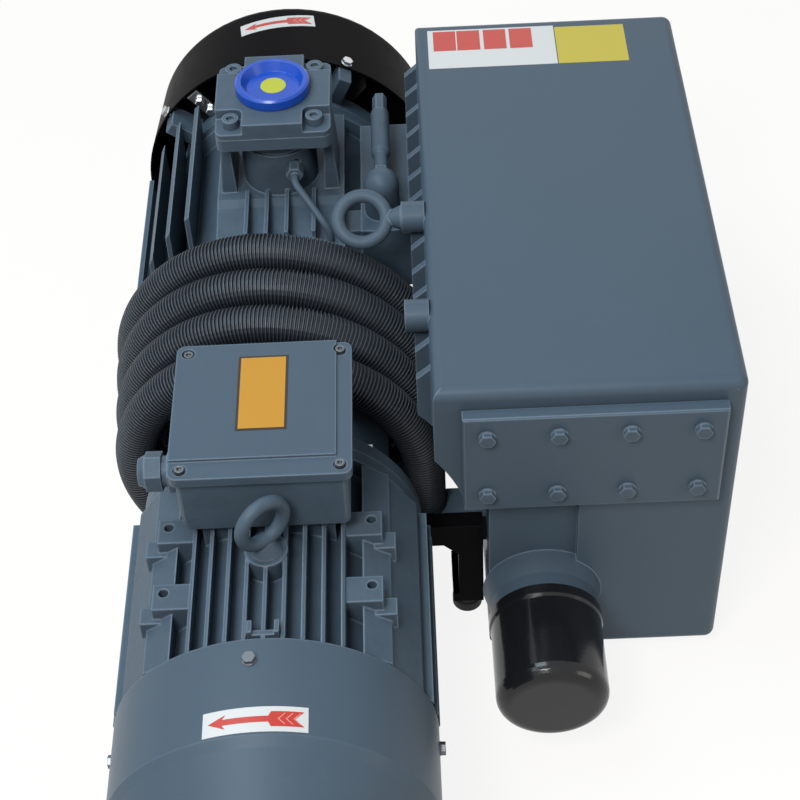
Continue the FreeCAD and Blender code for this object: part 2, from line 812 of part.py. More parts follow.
def build_terminal_box():
    """Cast box on the frame's saddle, with its gasket, lid, four lid screws, earth screw and gland."""
    base_x = lid_half_x - box_base_inset
    base_y0 = lid_y0 + box_base_inset
    base_y1 = lid_y1 - box_base_inset
    lid_z0 = lid_top_z - lid_thickness
    base_top = lid_z0 - gasket_thickness
    height = base_top - box_base_z0
    solid_base = box(-base_x, base_x, base_y0, base_y1, box_base_z0, base_top)
    hollow = box(-base_x + box_wall, base_x - box_wall, base_y0 + box_wall, base_y1 - box_wall,
                 box_base_z0 + box_wall, base_top + 1)
    xs = (-lid_half_x + lid_screw_inset, lid_half_x - lid_screw_inset)
    ys = (lid_y0 + lid_screw_inset, lid_y1 - lid_screw_inset)
    screw_places = [(x, y) for x in xs for y in ys]
    posts = []
    for x, y in screw_places:
        toward_x = 2 if x < 0 else -2
        toward_y = 2 if y < ys[1] else -2
        post = rod(box_post_r, height - 6, (x + toward_x, y + toward_y, box_base_z0 + 6), (0, 0, 1))
        posts.append(post.common(solid_base))
    base = solid_base.makeFillet(box_corner_r, upright_edges(solid_base, height))
    base = base.cut(hollow).fuse(posts)
    hole_r = lid_screw_r + fit_gap
    for x, y in screw_places:
        base = base.cut(rod(hole_r, 26, (x, y, base_top - 25), (0, 0, 1)))
    sleeve_r = gland_bore_r + 4
    base = base.cut(rod(sleeve_r + fit_gap, 20, (-base_x - 5, gland_y, gland_z), (1, 0, 0)))
    base = base.cut(rod(cable_way_r, box_wall + 2, (0, cable_way_y, box_base_z0 - 1), (0, 0, 1)))
    earth_z = lid_top_z - earth_drop
    base = base.cut(rod(earth_screw_r + fit_gap, 9, (-base_x - 1, earth_y, earth_z), (1, 0, 0)))
    nodes["terminal_box_base"] = base.removeSplitter()
    outline = box(-base_x, base_x, base_y0, base_y1, base_top, lid_z0)
    ring = outline.cut(box(-base_x + box_wall, base_x - box_wall, base_y0 + box_wall, base_y1 - box_wall,
                           base_top - 1, lid_z0 + 1))
    for x, y in screw_places:
        ring = ring.cut(rod(hole_r, 20, (x, y, base_top - 10), (0, 0, 1)))
    nodes["terminal_box_gasket"] = ring
    nodes["terminal_box_lid"] = terminal_lid(base_x - 6, base_y0 + 6, base_y1 - 6, screw_places)
    seat_z = lid_top_z - lid_border_drop - lid_screw_sink
    screws = [socket_screw(lid_screw_r, 24, (x, y, seat_z), (0, 0, 1)) for x, y in screw_places]
    screws.append(hex_bolt(earth_screw_r, 4, (-base_x, earth_y, earth_z), (-1, 0, 0)))
    nodes["terminal_box_screws"] = group(screws)
    floor_z = box_base_z0 + box_wall
    board = box(-32, 32, -20, 24, floor_z, floor_z + board_height)
    studs = [rod(3, 16, (x, y, floor_z + board_height), (0, 0, 1)) for x in (-20, 0, 20) for y in (-8, 12)]
    nodes["terminal_board"] = fused([board] + studs)
    nodes["cable_gland"] = cable_gland(-base_x, sleeve_r)


def terminal_lid(recess_x, recess_y0, recess_y1, screw_places):
    """Lid with a lowered border at the front and the right, and a recess underneath."""
    z0 = lid_top_z - lid_thickness
    border_z = lid_top_z - lid_border_drop
    solid_lid = box(-lid_half_x, lid_half_x, lid_y0, lid_y1, z0, lid_top_z)
    lid = solid_lid.makeFillet(lid_corner_r, upright_edges(solid_lid, lid_thickness))
    outside = lid_half_x + 1
    front_step = box(-outside, outside, lid_y0 - 1, lid_y0 + lid_border, border_z, lid_top_z + 1)
    side_step = box(lid_half_x - lid_side_border, outside, lid_y0 - 1, lid_y1 + 1, border_z, lid_top_z + 1)
    lid = lid.cut(front_step).cut(side_step)
    lid = lid.cut(box(-recess_x, recess_x, recess_y0, recess_y1, z0 - 1, z0 + 5))
    lid = lid.fuse([rod(7, border_z - z0, (x, y, z0), (0, 0, 1)) for x, y in screw_places])
    lid = lid.common(solid_lid)
    for x, y in screw_places:
        lid = lid.cut(rod(lid_socket_r, 20, (x, y, border_z - lid_screw_sink), (0, 0, 1)))
        lid = lid.cut(rod(lid_screw_r + fit_gap, 40, (x, y, z0 - 10), (0, 0, 1)))
    return lid.removeSplitter()


def cable_gland(start_x, sleeve_r):
    """Threaded sleeve, lock nut, body and clamping nut on the box's left wall."""
    gland = fused([
        rod(sleeve_r, box_wall + 6, (start_x + box_wall + 3, gland_y, gland_z), (-1, 0, 0)),
        hexagon(32, 9, (start_x, gland_y, gland_z), (-1, 0, 0)),
        rod(13, 8, (start_x - 9, gland_y, gland_z), (-1, 0, 0)),
        hexagon(30, gland_length - 20, (start_x - 14, gland_y, gland_z), (-1, 0, 0)),
        Part.makeCone(14.5, 11.5, 6, V(start_x - gland_length + 6, gland_y, gland_z), V(-1, 0, 0))])
    return gland.cut(rod(gland_bore_r, 80, (start_x + 20, gland_y, gland_z), (-1, 0, 0)))


def build_motor_eye():
    turn = math.radians(motor_eye_turn)
    normal = (-math.sin(turn), math.cos(turn), 0)
    base = (0, motor_eye_y, eye_boss_top_z)
    centre = (0, motor_eye_y, eye_boss_top_z + eye_collar + motor_eye_ring_r)
    shank = eye_hole_depth - 4
    nodes["motor_lifting_eye"] = eye_bolt(
        base, centre, normal, motor_eye_ring_r, motor_eye_wire_r, eye_collar + 2, eye_shank_r, shank)


def build_coupling():
    """Two hubs with three jaws each, and the elastic spider whose six legs lie between the jaws."""
    bore = shaft_end_r + fit_gap
    jaw_end = jaw_y0 + jaw_length
    motor_face = jaw_y0 - hub_gap
    pump_face = jaw_end + hub_gap
    step = 180 / jaw_count
    motor_hub = [shaft_ring(hub_r, bore, motor_face - hub_length, motor_face)]
    pump_hub = [shaft_ring(hub_r, bore, pump_face, pump_face + hub_length)]
    legs = []
    for number in range(jaw_count):
        turn = 2 * number * step
        motor_hub.append(sector(hub_r, hub_inner_r, motor_face, jaw_end + 0.5, turn, jaw_angle))
        pump_hub.append(sector(hub_r, hub_inner_r, jaw_y0 - 0.5, pump_face, turn + step, jaw_angle))
    for number in range(2 * jaw_count):
        turn = (number + 0.5) * step
        legs.append(sector(hub_r - 1, hub_inner_r - 8, jaw_y0, jaw_end, turn, leg_angle))
    nodes["coupling_motor_hub"] = fused(motor_hub)
    nodes["coupling_pump_hub"] = fused(pump_hub)
    centre = shaft_ring(hub_inner_r - fit_gap * 3, hub_inner_r - 9, jaw_y0, jaw_end)
    nodes["coupling_spider"] = fused([centre] + legs)


def build_coupling_housing():
    """Drum between motor and pump, open above and below for the coupling's air, with its bolts."""
    inner_r = housing_r - housing_wall
    flange_y = housing_y0 + housing_flange_thickness
    end_y = housing_y1 - housing_end_flange
    shell = turned([
        (inner_r, housing_y0), (motor_flange_r, housing_y0), (motor_flange_r, flange_y),
        (housing_r, flange_y), (housing_r, end_y), (end_flange_r, end_y), (end_flange_r, housing_y1),
        (housing_hub_r, housing_y1), (housing_hub_r, end_y), (inner_r, end_y)])
    opening_y0 = housing_y0 + opening_setback
    opening_y1 = housing_y1 - opening_setback
    for angle in (90, 270):
        shell = shell.cut(sector(housing_r + 5, inner_r - 5, opening_y0, opening_y1, angle, opening_angle))
    bolts = []
    for x, z in motor_bolt_places():
        shell = shell.cut(rod(end_bolt_r + fit_gap, 40, (x, housing_y0 - 1, z), (0, 1, 0)))
        bolts.append(hex_bolt(end_bolt_r, housing_flange_thickness + 8, (x, flange_y, z), (0, 1, 0)))
    shank = housing_end_flange + front_plate_y1 - housing_y1 + 10
    for x, z in end_bolt_places():
        shell = shell.cut(rod(end_bolt_r + fit_gap, 40, (x, end_y - 1, z), (0, 1, 0)))
        bolts.append(hex_bolt(end_bolt_r, shank, (x, end_y, z), (0, -1, 0)))
    nodes["coupling_housing"] = shell.removeSplitter()
    nodes["housing_bolts"] = group(bolts)


def coil_point(half_turns):
    """Where the tube's centre line crosses the height of the shaft; the coil widens towards the pump."""
    radius = coil_first_r + (coil_last_r - coil_first_r) * half_turns / (2 * coil_turns - 1)
    side = 1 if half_turns % 2 == 0 else -1
    y = coil_first_top_y + (half_turns - 0.5) * coil_pitch / 2
    return V(coil_shift_x + side * radius, y, shaft_z)


def build_cooler():
    """Finned tube wound round the coupling housing; each half turn is an arc in an upright plane."""
    first = coil_point(0)
    last = coil_point(2 * coil_turns - 1)
    drop = V(first.x, first.y, coil_drop_z)
    edges = [Part.LineSegment(drop, first).toShape()]
    for number in range(2 * coil_turns - 1):
        edges.append(half_turn_path(coil_point(number), coil_point(number + 1), number % 2 == 0))
    turn_r = coil_shift_x - last.x
    low = V(coil_shift_x - turn_r * math.cos(math.pi / 4), last.y, shaft_z - turn_r * math.sin(math.pi / 4))
    bottom = V(coil_shift_x, last.y, shaft_z - turn_r)
    run_end = V(sump_x0 - coil_union_length, last.y, bottom.z)
    edges.append(Part.Arc(last, low, bottom).toShape())
    edges.append(Part.LineSegment(bottom, run_end).toShape())
    nodes["cooler_coil"] = tube_along(edges, coil_tube_r, tuple(drop), (0, 0, 1))
    half = coil_tube_r - 1
    block_z0 = coil_drop_z - fitting_block_z
    block = box(first.x - half, sump_x0, first.y - half, first.y + half, block_z0, coil_drop_z)
    corners = []
    for edge in block.Edges:
        bounds = edge.BoundBox
        if bounds.YLength > half and bounds.XMax < sump_x0 - 1 and bounds.ZMax < coil_drop_z - 1:
            corners.append(edge)
    block = block.makeFillet(fitting_corner_r, corners)
    block = block.cut(rod(coil_plain_r, 24, (first.x, first.y, coil_drop_z - 20), (0, 0, 1)))
    shank_x = sump_x0 - fitting_shank
    union = fused([
        rod(coil_plain_r + 5, fitting_shank, (shank_x, last.y, bottom.z), (1, 0, 0)),
        hexagon(36, shank_x - run_end.x, (run_end.x, last.y, bottom.z), (1, 0, 0))])
    union = union.cut(rod(coil_plain_r, coil_union_length, (run_end.x + 6, last.y, bottom.z), (1, 0, 0)))
    nodes["cooler_fittings"] = group([block, union])


def bore_centre():
    offset = (bore_r - rotor_r - contact_gap) / math.sqrt(2)
    return -offset, shaft_z - offset


def build_pump_cylinder():
    """The cylinder casting with its fins, flank, inlet neck, exhaust port, ballast dome and bores."""
    y0 = front_plate_y1
    y1 = cylinder_y1
    flange_r = end_flange_r
    slope_y0 = y0 + cylinder_flange
    slope_y1 = y1 - cylinder_flange
    core = turned([(0, y0), (flange_r, y0), (flange_r, slope_y0), (cylinder_r, slope_y0 + 6),
                   (cylinder_r, slope_y1 - 6), (flange_r, slope_y1), (flange_r, y1), (0, y1)])
    pieces = [core, cylinder_flank(y1)] + inlet_neck() + ballast_dome()
    half = cylinder_fin_thickness / 2
    trim = shaft_rod(cylinder_fin_r, y0, y1)
    for x in side_fin_xs:
        fin = box(x - half, x + half, cylinder_fin_y0, y1, shaft_z, shaft_z + cylinder_fin_r)
        pieces.append(fin.common(trim))
    port_x = box_x0 - rib_depth
    pieces.append(box(port_root_x, port_x, port_y0, port_y1, port_z0, port_z1))
    body = fused(pieces)
    x, z = bore_centre()
    body = body.cut(rod(bore_r, y1 - y0 + 2, (x, y0 - 1, z), (0, 1, 0)))
    body = body.cut(rod(neck_bore_r, inlet_flange_z0 - screen_z + 1, (0, inlet_y, screen_z), (0, 0, 1)))
    body = body.cut(rod(valve_seat_r, screen_z - shaft_z, (0, inlet_y, shaft_z + rotor_r / 2), (0, 0, 1)))
    body = body.cut(box(port_x - reed_chamber, port_x + 1, port_y0 + port_wall, port_y1 - port_wall,
                        port_z0 + port_wall, port_z1 - port_wall))
    for hole_y in exhaust_hole_places():
        start = (exhaust_hole_x, hole_y, exhaust_hole_z)
        body = body.cut(rod(exhaust_hole_r, port_x - exhaust_hole_x, start, (1, 0, 0)))
    for x, y in inlet_bolt_places():
        body = body.cut(rod(inlet_screw_r + fit_gap, 40, (x, y, inlet_flange_z0 - 20), (0, 0, 1)))
    for x, z in end_bolt_places():
        body = body.cut(rod(end_bolt_r + fit_gap, 12, (x, y1 - 11, z), (0, 1, 0)))
        body = body.cut(rod(end_bolt_r + fit_gap, 12, (x, y0 - 1, z), (0, 1, 0)))
    body = body.cut(rod(pipe_stub_r + fit_gap, 10, (pipe_x, inlet_y - neck_r - 1, pipe_z), (0, 1, 0)))
    body = body.cut(rod(pipe_r + fit_gap, 30, (pipe_end_x, pipe_end_y, pipe_end_z - 11), (0, 0, 1)))
    nodes["pump_cylinder"] = body.cut(ballast_seat()).removeSplitter()


def cylinder_flank(y1):
    """The casting's side wall, with its inward step."""
    x = side_wall_x
    step_x = x + 5
    top = shaft_z + side_wall_top
    profile = [(x, shaft_z - 60), (x, top), (step_x, top), (step_x, top - 16), (-100, top - 16),
               (-90, shaft_z - 85), (-120, shaft_z - 85)]
    return extruded_y(profile, cylinder_fin_y0 - 12, y1)


def ballast_dome():
    """Upright domed boss for the gas ballast valve, and the web that ties it to the cylinder."""
    foot_z = shaft_z + 61
    return [
        rod(ballast_dome_r, ballast_z - foot_z - 3, (ballast_x, ballast_dome_y, foot_z + 3), (0, 0, 1)),
        Part.makeSphere(ballast_dome_r, V(ballast_x, ballast_dome_y, ballast_z)),
        box(60, ballast_x + ballast_dome_r, ballast_dome_y - 16, ballast_dome_y + 16, foot_z, foot_z + 38)]


def ballast_seat():
    """What the gas ballast valve's flat and its thread take away from the dome."""
    y = ballast_dome_y + ballast_dome_r - 2
    reach = ballast_dome_r + 3
    flat = box(ballast_x - reach, ballast_x + reach, y, y + reach, ballast_z - reach, ballast_z + reach)
    return flat.fuse(rod(ballast_thread_r + fit_gap, 30, (ballast_x, y - 5, ballast_z), (0, 1, 0)))


def inlet_neck():
    """The raised block on top of the cylinder, its ribs, the stepped neck, side webs and square pad."""
    root_z = shaft_z + 60
    slope_y = block_rib_y0 + 52
    far_y = block_y1 + 13
    profile = [(block_y0, root_z), (block_y0, block_top_z - 15), (slope_y, block_top_z - 4),
               (slope_y + 8, block_top_z), (block_y1, block_top_z), (far_y, root_z + 30), (far_y, root_z)]
    pieces = [extruded_x(profile, -block_half_x, block_half_x)]
    for x in block_rib_xs:
        pieces.append(box(x - 2, x + 2, block_rib_y0, block_rib_y0 + 66, block_top_z - 20, block_top_z + 7))
    pieces.append(rod(neck_top_r, inlet_pad_z0 - root_z, (0, inlet_y, root_z), (0, 0, 1)))
    pieces.append(rod(neck_r, neck_step_z - root_z, (0, inlet_y, root_z), (0, 0, 1)))
    half = inlet_flange_half
    pad = box(-half, half, inlet_y - half, inlet_y + half, inlet_pad_z0, inlet_flange_z0)
    pieces.append(pad.makeFillet(inlet_corner_r, upright_edges(pad, inlet_pad_thickness)))
    web_z = inlet_pad_z0 + 1
    for side in (-1, 1):
        web = [(side * (half - 2), web_z), (side * (half - 9), web_z),
               (side * (half - 12), block_top_z - 5), (side * (half + 4), block_top_z - 5)]
        pieces.append(extruded_y(web, inlet_y - 30, inlet_y + 30))
    return pieces


def exhaust_hole_places():
    pitch = (port_y1 - port_y0 - 60) / 3
    return [port_y0 + 30 + number * pitch for number in range(4)]


def cowl_screw_hole(angle, y):
    """Radial hole through the pump cowl's rim and into the rear plate's lug."""
    x, z = polar(angle, pump_cowl_rim_r - 16)
    across, up = polar(angle, 1)
    return rod(cowl_screw_r + fit_gap, 30, (x, y, z), (across, 0, up - shaft_z))


def build_pump_plates():
    """The two end plates with the rotor's bearings, seals and bolts; the rear one carries the cowl's lugs."""
    seat_r = roller_outer_r + fit_gap
    front = shaft_ring(end_flange_r, shaft_r + 1, housing_y1, front_plate_y1)
    front = front.cut(shaft_rod(seat_r, front_plate_y1 - roller_width, front_plate_y1 + 1))
    front = front.cut(shaft_rod(seal_r + fit_gap, housing_y1 - 1, housing_y1 + seal_width))
    rear = shaft_ring(end_flange_r, shaft_r + 1, cylinder_y1, rear_plate_y1)
    rear = rear.cut(shaft_rod(seat_r, cylinder_y1 - 1, cylinder_y1 + roller_width))
    rear = rear.cut(shaft_rod(seal_r + fit_gap, rear_plate_y1 - seal_width, rear_plate_y1 + 1))
    lug_r = pump_cowl_rim_r - pump_cowl_wall - 2.0
    trim = shaft_rod(lug_r, cylinder_y1, pump_cowl_y1)
    screw_y = pump_cowl_y0 + pump_cowl_screw_setback
    half = cowl_lug_half
    lugs = []
    for angle in cowl_lug_angles:
        lug = box(end_flange_r - 4, lug_r, cylinder_y1 + 4, screw_y + half, shaft_z - half, shaft_z + half)
        lugs.append(around_shaft(lug.common(trim), -angle))
    rear = fused([rear] + lugs)
    for angle in cowl_lug_angles:
        rear = rear.cut(cowl_screw_hole(angle, screw_y))
    bolts = []
    for x, z in end_bolt_places():
        front = front.cut(rod(end_bolt_r + fit_gap, 40, (x, housing_y1 - 1, z), (0, 1, 0)))
        rear = rear.cut(rod(end_bolt_r + fit_gap, 40, (x, cylinder_y1 - 1, z), (0, 1, 0)))
        bolts.append(hex_bolt(end_bolt_r, rear_plate_y1 - cylinder_y1 + 10, (x, rear_plate_y1, z), (0, 1, 0)))
    nodes["pump_front_plate"] = front
    nodes["pump_rear_plate"] = rear
    nodes["housing_bolts"] = group(list(nodes["housing_bolts"].Solids) + bolts)
    inner_r = shaft_r + 7
    rings = []
    inners = []
    seats = ((front_plate_y1 - roller_width, front_plate_y1 - rotor_end_gap),
             (cylinder_y1 + rotor_end_gap, cylinder_y1 + roller_width))
    for y0, y1 in seats:
        rings.append(shaft_ring(roller_outer_r, inner_r + running_gap, y0, y1))
        inners.append(shaft_ring(inner_r, shaft_r + running_gap, y0, y1))
    nodes["pump_bearing_outer_rings"] = group(rings)
    nodes["pump_bearing_inner_rings"] = group(inners)
    seals = [shaft_ring(seal_r, shaft_r + running_gap, housing_y1, housing_y1 + seal_width),
             shaft_ring(seal_r, shaft_r + running_gap, rear_plate_y1 - seal_width, rear_plate_y1)]
    nodes["shaft_seals"] = group(seals)


def build_pump_rotor():
    """Slotted rotor with its shaft and vanes, and the fan behind the rear plate."""
    y0 = front_plate_y1 + rotor_end_gap
    y1 = cylinder_y1 - rotor_end_gap
    step_y = rear_plate_y1 + 4
    rotor = fused([
        shaft_rod(rotor_r, y0, y1),
        shaft_rod(shaft_end_r, pump_shaft_y0, housing_y1 - 2),
        shaft_rod(shaft_r, housing_y1 - 2, step_y),
        shaft_rod(fan_journal_r, step_y, pump_cowl_y1 - pump_fan_room + 6)])
    half = vane_thickness / 2
    slot_half = half + fit_gap
    root = rotor_r - vane_depth
    vanes = []
    for number in range(vane_count):
        angle = 360 * number / vane_count
        slot = box(root - 2, rotor_r + 5, y0 - 1, y1 + 1, shaft_z - slot_half, shaft_z + slot_half)
        rotor = rotor.cut(around_shaft(slot, angle))
        vane = box(root, rotor_r - 0.2, y0, y1, shaft_z - half, shaft_z + half)
        vanes.append(around_shaft(vane, angle))
    nodes["pump_rotor"] = rotor
    nodes["vanes"] = group(vanes)
    fan_y1 = pump_cowl_y1 - pump_fan_room
    nodes["pump_fan"] = fan(pump_fan_hub_r, pump_fan_r, pump_fan_blades, rear_plate_y1 + 16, fan_y1)


def build_pump_cowl():
    """Deep pressed cowl at the far end, with air slots and its four screws."""
    wall = pump_cowl_wall
    rim_inside_r = pump_cowl_rim_r - wall
    bend = pump_cowl_round
    rounding = quarter_round(bend, pump_cowl_end_r - bend, pump_cowl_y1 - bend, 1)
    outer = turned([(0, pump_cowl_y0), (pump_cowl_rim_r, pump_cowl_y0)] + rounding + [(0, pump_cowl_y1)])
    inner = [(0, pump_cowl_y0 - 1), (rim_inside_r, pump_cowl_y0 - 1), (rim_inside_r, pump_cowl_y0)]
    inner += [(radius - wall, y - wall) for radius, y in rounding]
    shell = outer.cut(turned(inner + [(0, pump_cowl_y1 - wall)]))
    end_y = pump_cowl_y1
    shell = slotted_end(shell, end_y - wall - 1, end_y + 1, pump_cowl_slot_rings, pump_cowl_end_r)
    screw_y = pump_cowl_y0 + pump_cowl_screw_setback
    screws = []
    for angle in cowl_lug_angles:
        x, z = polar(angle, pump_cowl_rim_r)
        across, up = polar(angle, 1)
        shell = shell.cut(cowl_screw_hole(angle, screw_y))
        screws.append(hex_bolt(cowl_screw_r, 12, (x, screw_y, z), (across, 0, up - shaft_z)))
    nodes["pump_fan_cowl"] = shell
    nodes["pump_cowl_screws"] = group(screws)


def build_inlet():
    """Square flange with pocketed corners, its screws, the non-return valve, its spring and the screen."""
    half = inlet_flange_half
    top = inlet_flange_top_z
    seat_z = top - inlet_pocket_depth
    flange = box(-half, half, inlet_y - half, inlet_y + half, inlet_flange_z0, top)
    flange = flange.makeFillet(inlet_corner_r, upright_edges(flange, inlet_flange_thickness))
    pocket_in = inlet_bolt_half - inlet_pocket + 4
    pocket_out = half + 5
    screws = []
    for x, y in inlet_bolt_places():
        side_x = 1 if x > 0 else -1
        side_y = 1 if y > inlet_y else -1
        x0, x1 = sorted((side_x * pocket_in, side_x * pocket_out))
        y0, y1 = sorted((inlet_y + side_y * pocket_in, inlet_y + side_y * pocket_out))
        pocket = box(x0, x1, y0, y1, seat_z, top + 5)
        inner_corner = []
        for edge in upright_edges(pocket, inlet_pocket_depth + 5):
            middle = edge.BoundBox.Center
            if abs(middle.x) < half and abs(middle.y - inlet_y) < half:
                inner_corner.append(edge)
        flange = flange.cut(pocket.makeFillet(7, inner_corner))
        flange = flange.cut(rod(inlet_screw_r + fit_gap, 60, (x, y, inlet_flange_z0 - 10), (0, 0, 1)))
        screws.append(socket_screw(inlet_screw_r, 22, (x, y, seat_z), (0, 0, 1)))
    flange = flange.cut(rod(inlet_thread_r, 40, (0, inlet_y, top - inlet_thread_depth), (0, 0, 1)))
    nodes["inlet_flange"] = flange.cut(rod(valve_seat_r, 60, (0, inlet_y, inlet_flange_z0 - 10), (0, 0, 1)))
    nodes["inlet_screws"] = group(screws)
    disc_bottom = inlet_flange_z0 - running_gap - valve_disc_thickness
    stem_end = screen_z - 8
    nodes["non_return_disc"] = fused([
        rod(valve_disc_r, valve_disc_thickness, (0, inlet_y, disc_bottom), (0, 0, 1)),
        rod(valve_stem_r, disc_bottom - stem_end + 1, (0, inlet_y, stem_end), (0, 0, 1))])
    screen = rod(neck_bore_r - fit_gap, screen_thickness, (0, inlet_y, screen_z), (0, 0, 1))
    for ring, count in ((15.0, 8), (22.0, 12), (29.0, 16)):
        for number in range(count):
            turn = math.radians(360 * number / count)
            place = (ring * math.cos(turn), inlet_y + ring * math.sin(turn), screen_z - 3)
            screen = screen.cut(rod(screen_hole_r, screen_thickness + 6, place, (0, 0, 1)))
    hub = rod(9, screen_thickness + 2, (0, inlet_y, screen_z - 2), (0, 0, 1))
    bore = rod(valve_stem_r + running_gap, 20, (0, inlet_y, screen_z - 8), (0, 0, 1))
    nodes["inlet_screen"] = fused([screen, hub]).cut(bore)
    nodes["non_return_spring"] = coil_spring(screen_z + screen_thickness, disc_bottom)


def coil_spring(z0, z1):
    """Light helical spring between two heights, as a chain of leaning half circles."""
    clear = spring_wire_r + 0.1
    rise = (z1 - z0 - 2 * clear) / spring_turns / 2
    edges = []
    z = z0 + clear
    for number in range(spring_turns * 2):
        side = 1 if number % 2 == 0 else -1
        start = V(side * spring_r, inlet_y, z)
        end = V(-side * spring_r, inlet_y, z + rise)
        middle = (start + end) * 0.5
        middle.y += side * math.hypot(spring_r, rise / 2)
        edges.append(Part.Arc(start, middle, end).toShape())
        z += rise
    return tube_along(edges, spring_wire_r, (spring_r, inlet_y, z0 + clear), (0, 1, 0))


def build_plug():
    """Push-in transport cap: a cup in the inlet's thread, a raised rim and a shallow recess for its label."""
    top = inlet_flange_top_z
    seat = top + face_gap
    rim_top = top + plug_rim_height
    floor = top + plug_floor_height
    body_r = inlet_thread_r - face_gap
    bottom = top - plug_depth
    rim_r = plug_rim_r
    profile = [
        (0, floor), (0, seat), (body_r - plug_wall, seat), (body_r - plug_wall, bottom),
        (body_r - 1.5, bottom), (body_r, bottom + 2), (body_r, seat), (rim_r - 1, seat), (rim_r, seat + 1),
        (rim_r, rim_top - 2), (rim_r - 2, rim_top), (rim_r - 6, rim_top), (rim_r - 11, floor)]
    nodes["inlet_plug"] = turned_up(profile, (0, inlet_y))


def build_ballast():
    """Stepped gas ballast valve on the dome, and the small oil pipe with its nut on the inlet's neck."""
    y = ballast_dome_y + ballast_dome_r - 2
    stem = ballast_stem_r
    knob = ballast_knob_r
    pieces = [
        rod(ballast_thread_r, 8, (ballast_x, y - 4, ballast_z), (0, 1, 0)),
        rod(stem, 34, (ballast_x, y, ballast_z), (0, 1, 0)),
        hexagon(17, 5, (ballast_x, y, ballast_z), (0, 1, 0)),
        Part.makeCone(stem, knob, 5, V(ballast_x, y + 29, ballast_z), V(0, 1, 0)),
        rod(knob, 64, (ballast_x, y + 34, ballast_z), (0, 1, 0)),
        Part.makeCone(knob, 6, 4, V(ballast_x, y + 98, ballast_z), V(0, 1, 0)),
        hexagon(13, 26, (ballast_x, y + 100, ballast_z), (0, 1, 0))]
    nodes["gas_ballast_valve"] = fused(pieces)
    nut_y = inlet_y - neck_r - 1.5
    nut = hexagon(15, 13, (pipe_x, nut_y, pipe_z), (0, -1, 0))
    stub = rod(pipe_stub_r, 6, (pipe_x, nut_y + 5, pipe_z), (0, -1, 0))
    points = [
        V(pipe_x, nut_y - 8, pipe_z),
        V(pipe_x, nut_y - 24, pipe_z),
        V(pipe_end_x - 5, pipe_end_y + 4, pipe_end_z + 20),
        V(pipe_end_x, pipe_end_y, pipe_end_z + 12),
        V(pipe_end_x, pipe_end_y, pipe_end_z - 8)]
    nodes["ballast_pipe"] = fused([nut, stub, bent_pipe(points, pipe_r)])


def bent_pipe(points, radius):
    """Straight runs joined by tangent arcs, each as large as its two runs allow."""
    edges = []
    last = points[0]
    for before, corner, after in zip(points, points[1:], points[2:]):
        into = (corner - before)
        out = (after - corner)
        turn = into.getAngle(out)
        back = 0.45 * min(into.Length, out.Length)
        into = into.normalize()
        out = out.normalize()
        start = corner - into * back
        end = corner + out * back
        bend_r = back / math.tan(turn / 2)
        centre_direction = (out - into).normalize()
        middle = corner + centre_direction * (bend_r / math.cos(turn / 2) - bend_r)
        edges.append(Part.LineSegment(last, start).toShape())
        edges.append(Part.Arc(start, middle, end).toShape())
        last = end
    edges.append(Part.LineSegment(last, points[-1]).toShape())
    first = points[1] - points[0]
    return tube_along(edges, radius, tuple(points[0]), tuple(first))


def separator_outline(inset, front, back):
    """The separator's stepped form, drawn inset from its outer faces, with room for the coil and the cowl."""
    x1 = box_x0 + box_width - inset
    x0 = box_x0 + inset
    low_x = sump_x0 + inset
    step_z = sump_top_z + inset
    bottom = box_z0 + inset
    top = box_z1 - inset
    corners = [(low_x, bottom), (x1, bottom), (x1, top), (x0, top), (x0, step_z), (low_x, step_z)]
    body = extruded_y(corners, front, back)
    rounding = max(edge_round - inset, 3)
    edges = []
    for edge in body.Edges:
        bounds = edge.BoundBox
        if bounds.ZMin > top - 0.1 or bounds.XMin > x1 - 0.1 or bounds.ZMax < bottom + 0.1:
            edges.append(edge)
    return body.makeFillet(rounding, edges)


def coil_scoop(extra):
    return shaft_rod(coil_scoop_r + extra, -coil_scoop_r, coil_scoop_y1 + extra)


def cowl_scoop(extra):
    return shaft_rod(cowl_scoop_r + extra, cowl_scoop_y0 - extra, pump_cowl_y1 + cowl_scoop_r)


def separator_outside():
    """The housing's outer form: ribs, exhaust port, filter head, outlet boss, front recess and scoops."""
    half = rib_thickness / 2
    edge_x = box_x0 - rib_depth
    root_x = box_x0 + 1
    profile = [(root_x, rib_z0), (edge_x, rib_z0 + 12), (edge_x, rib_z1 - rib_depth), (root_x, rib_z1)]
    pieces = []
    for number in range(rib_count):
        y = rib_first_y + number * rib_pitch
        if y + half < min(cowl_scoop_y0, box_length - edge_round):
            pieces.append(extruded_y(profile, y - half, y + half))
    pieces.append(box(edge_x, root_x, port_y0, port_y1, port_z0, port_z1))
    pieces.append(Part.makeCone(head_r + 6, head_r, 22, V(can_x, recess_depth, can_z), V(0, -1, 0)))
    pieces.append(rod(head_r, recess_depth - head_end_y, (can_x, recess_depth, can_z), (0, -1, 0)))
    pieces.append(rod(outlet_boss_r, outlet_boss_length + 1, (outlet_x, box_length - 1, outlet_z), (0, 1, 0)))
    recess = box(sump_x0 - 20, recess_x1, -1, recess_depth, box_z0 - 1, plate_z0 - 4)
    body = separator_outline(0, 0, box_length).cut(recess).fuse(pieces)
    body = body.cut(coil_scoop(0)).cut(cowl_scoop(0))
    bosses = []
    for number in boss_rib_numbers:
        y = rib_first_y + number * rib_pitch
        bosses.append(rod(boss_r, root_x - boss_end_x, (boss_end_x, y, boss_z), (1, 0, 0)))
    return body.fuse(bosses)


def cover_window(y0, y1):
    """The opening behind the cover plate, through which the filters are changed."""
    x1 = plate_x0 + plate_width - window_inset_x
    z1 = plate_z0 + plate_height - window_inset_z
    return box(plate_x0 + window_inset_x, x1, y0, y1, plate_z0 + window_inset_z, z1)


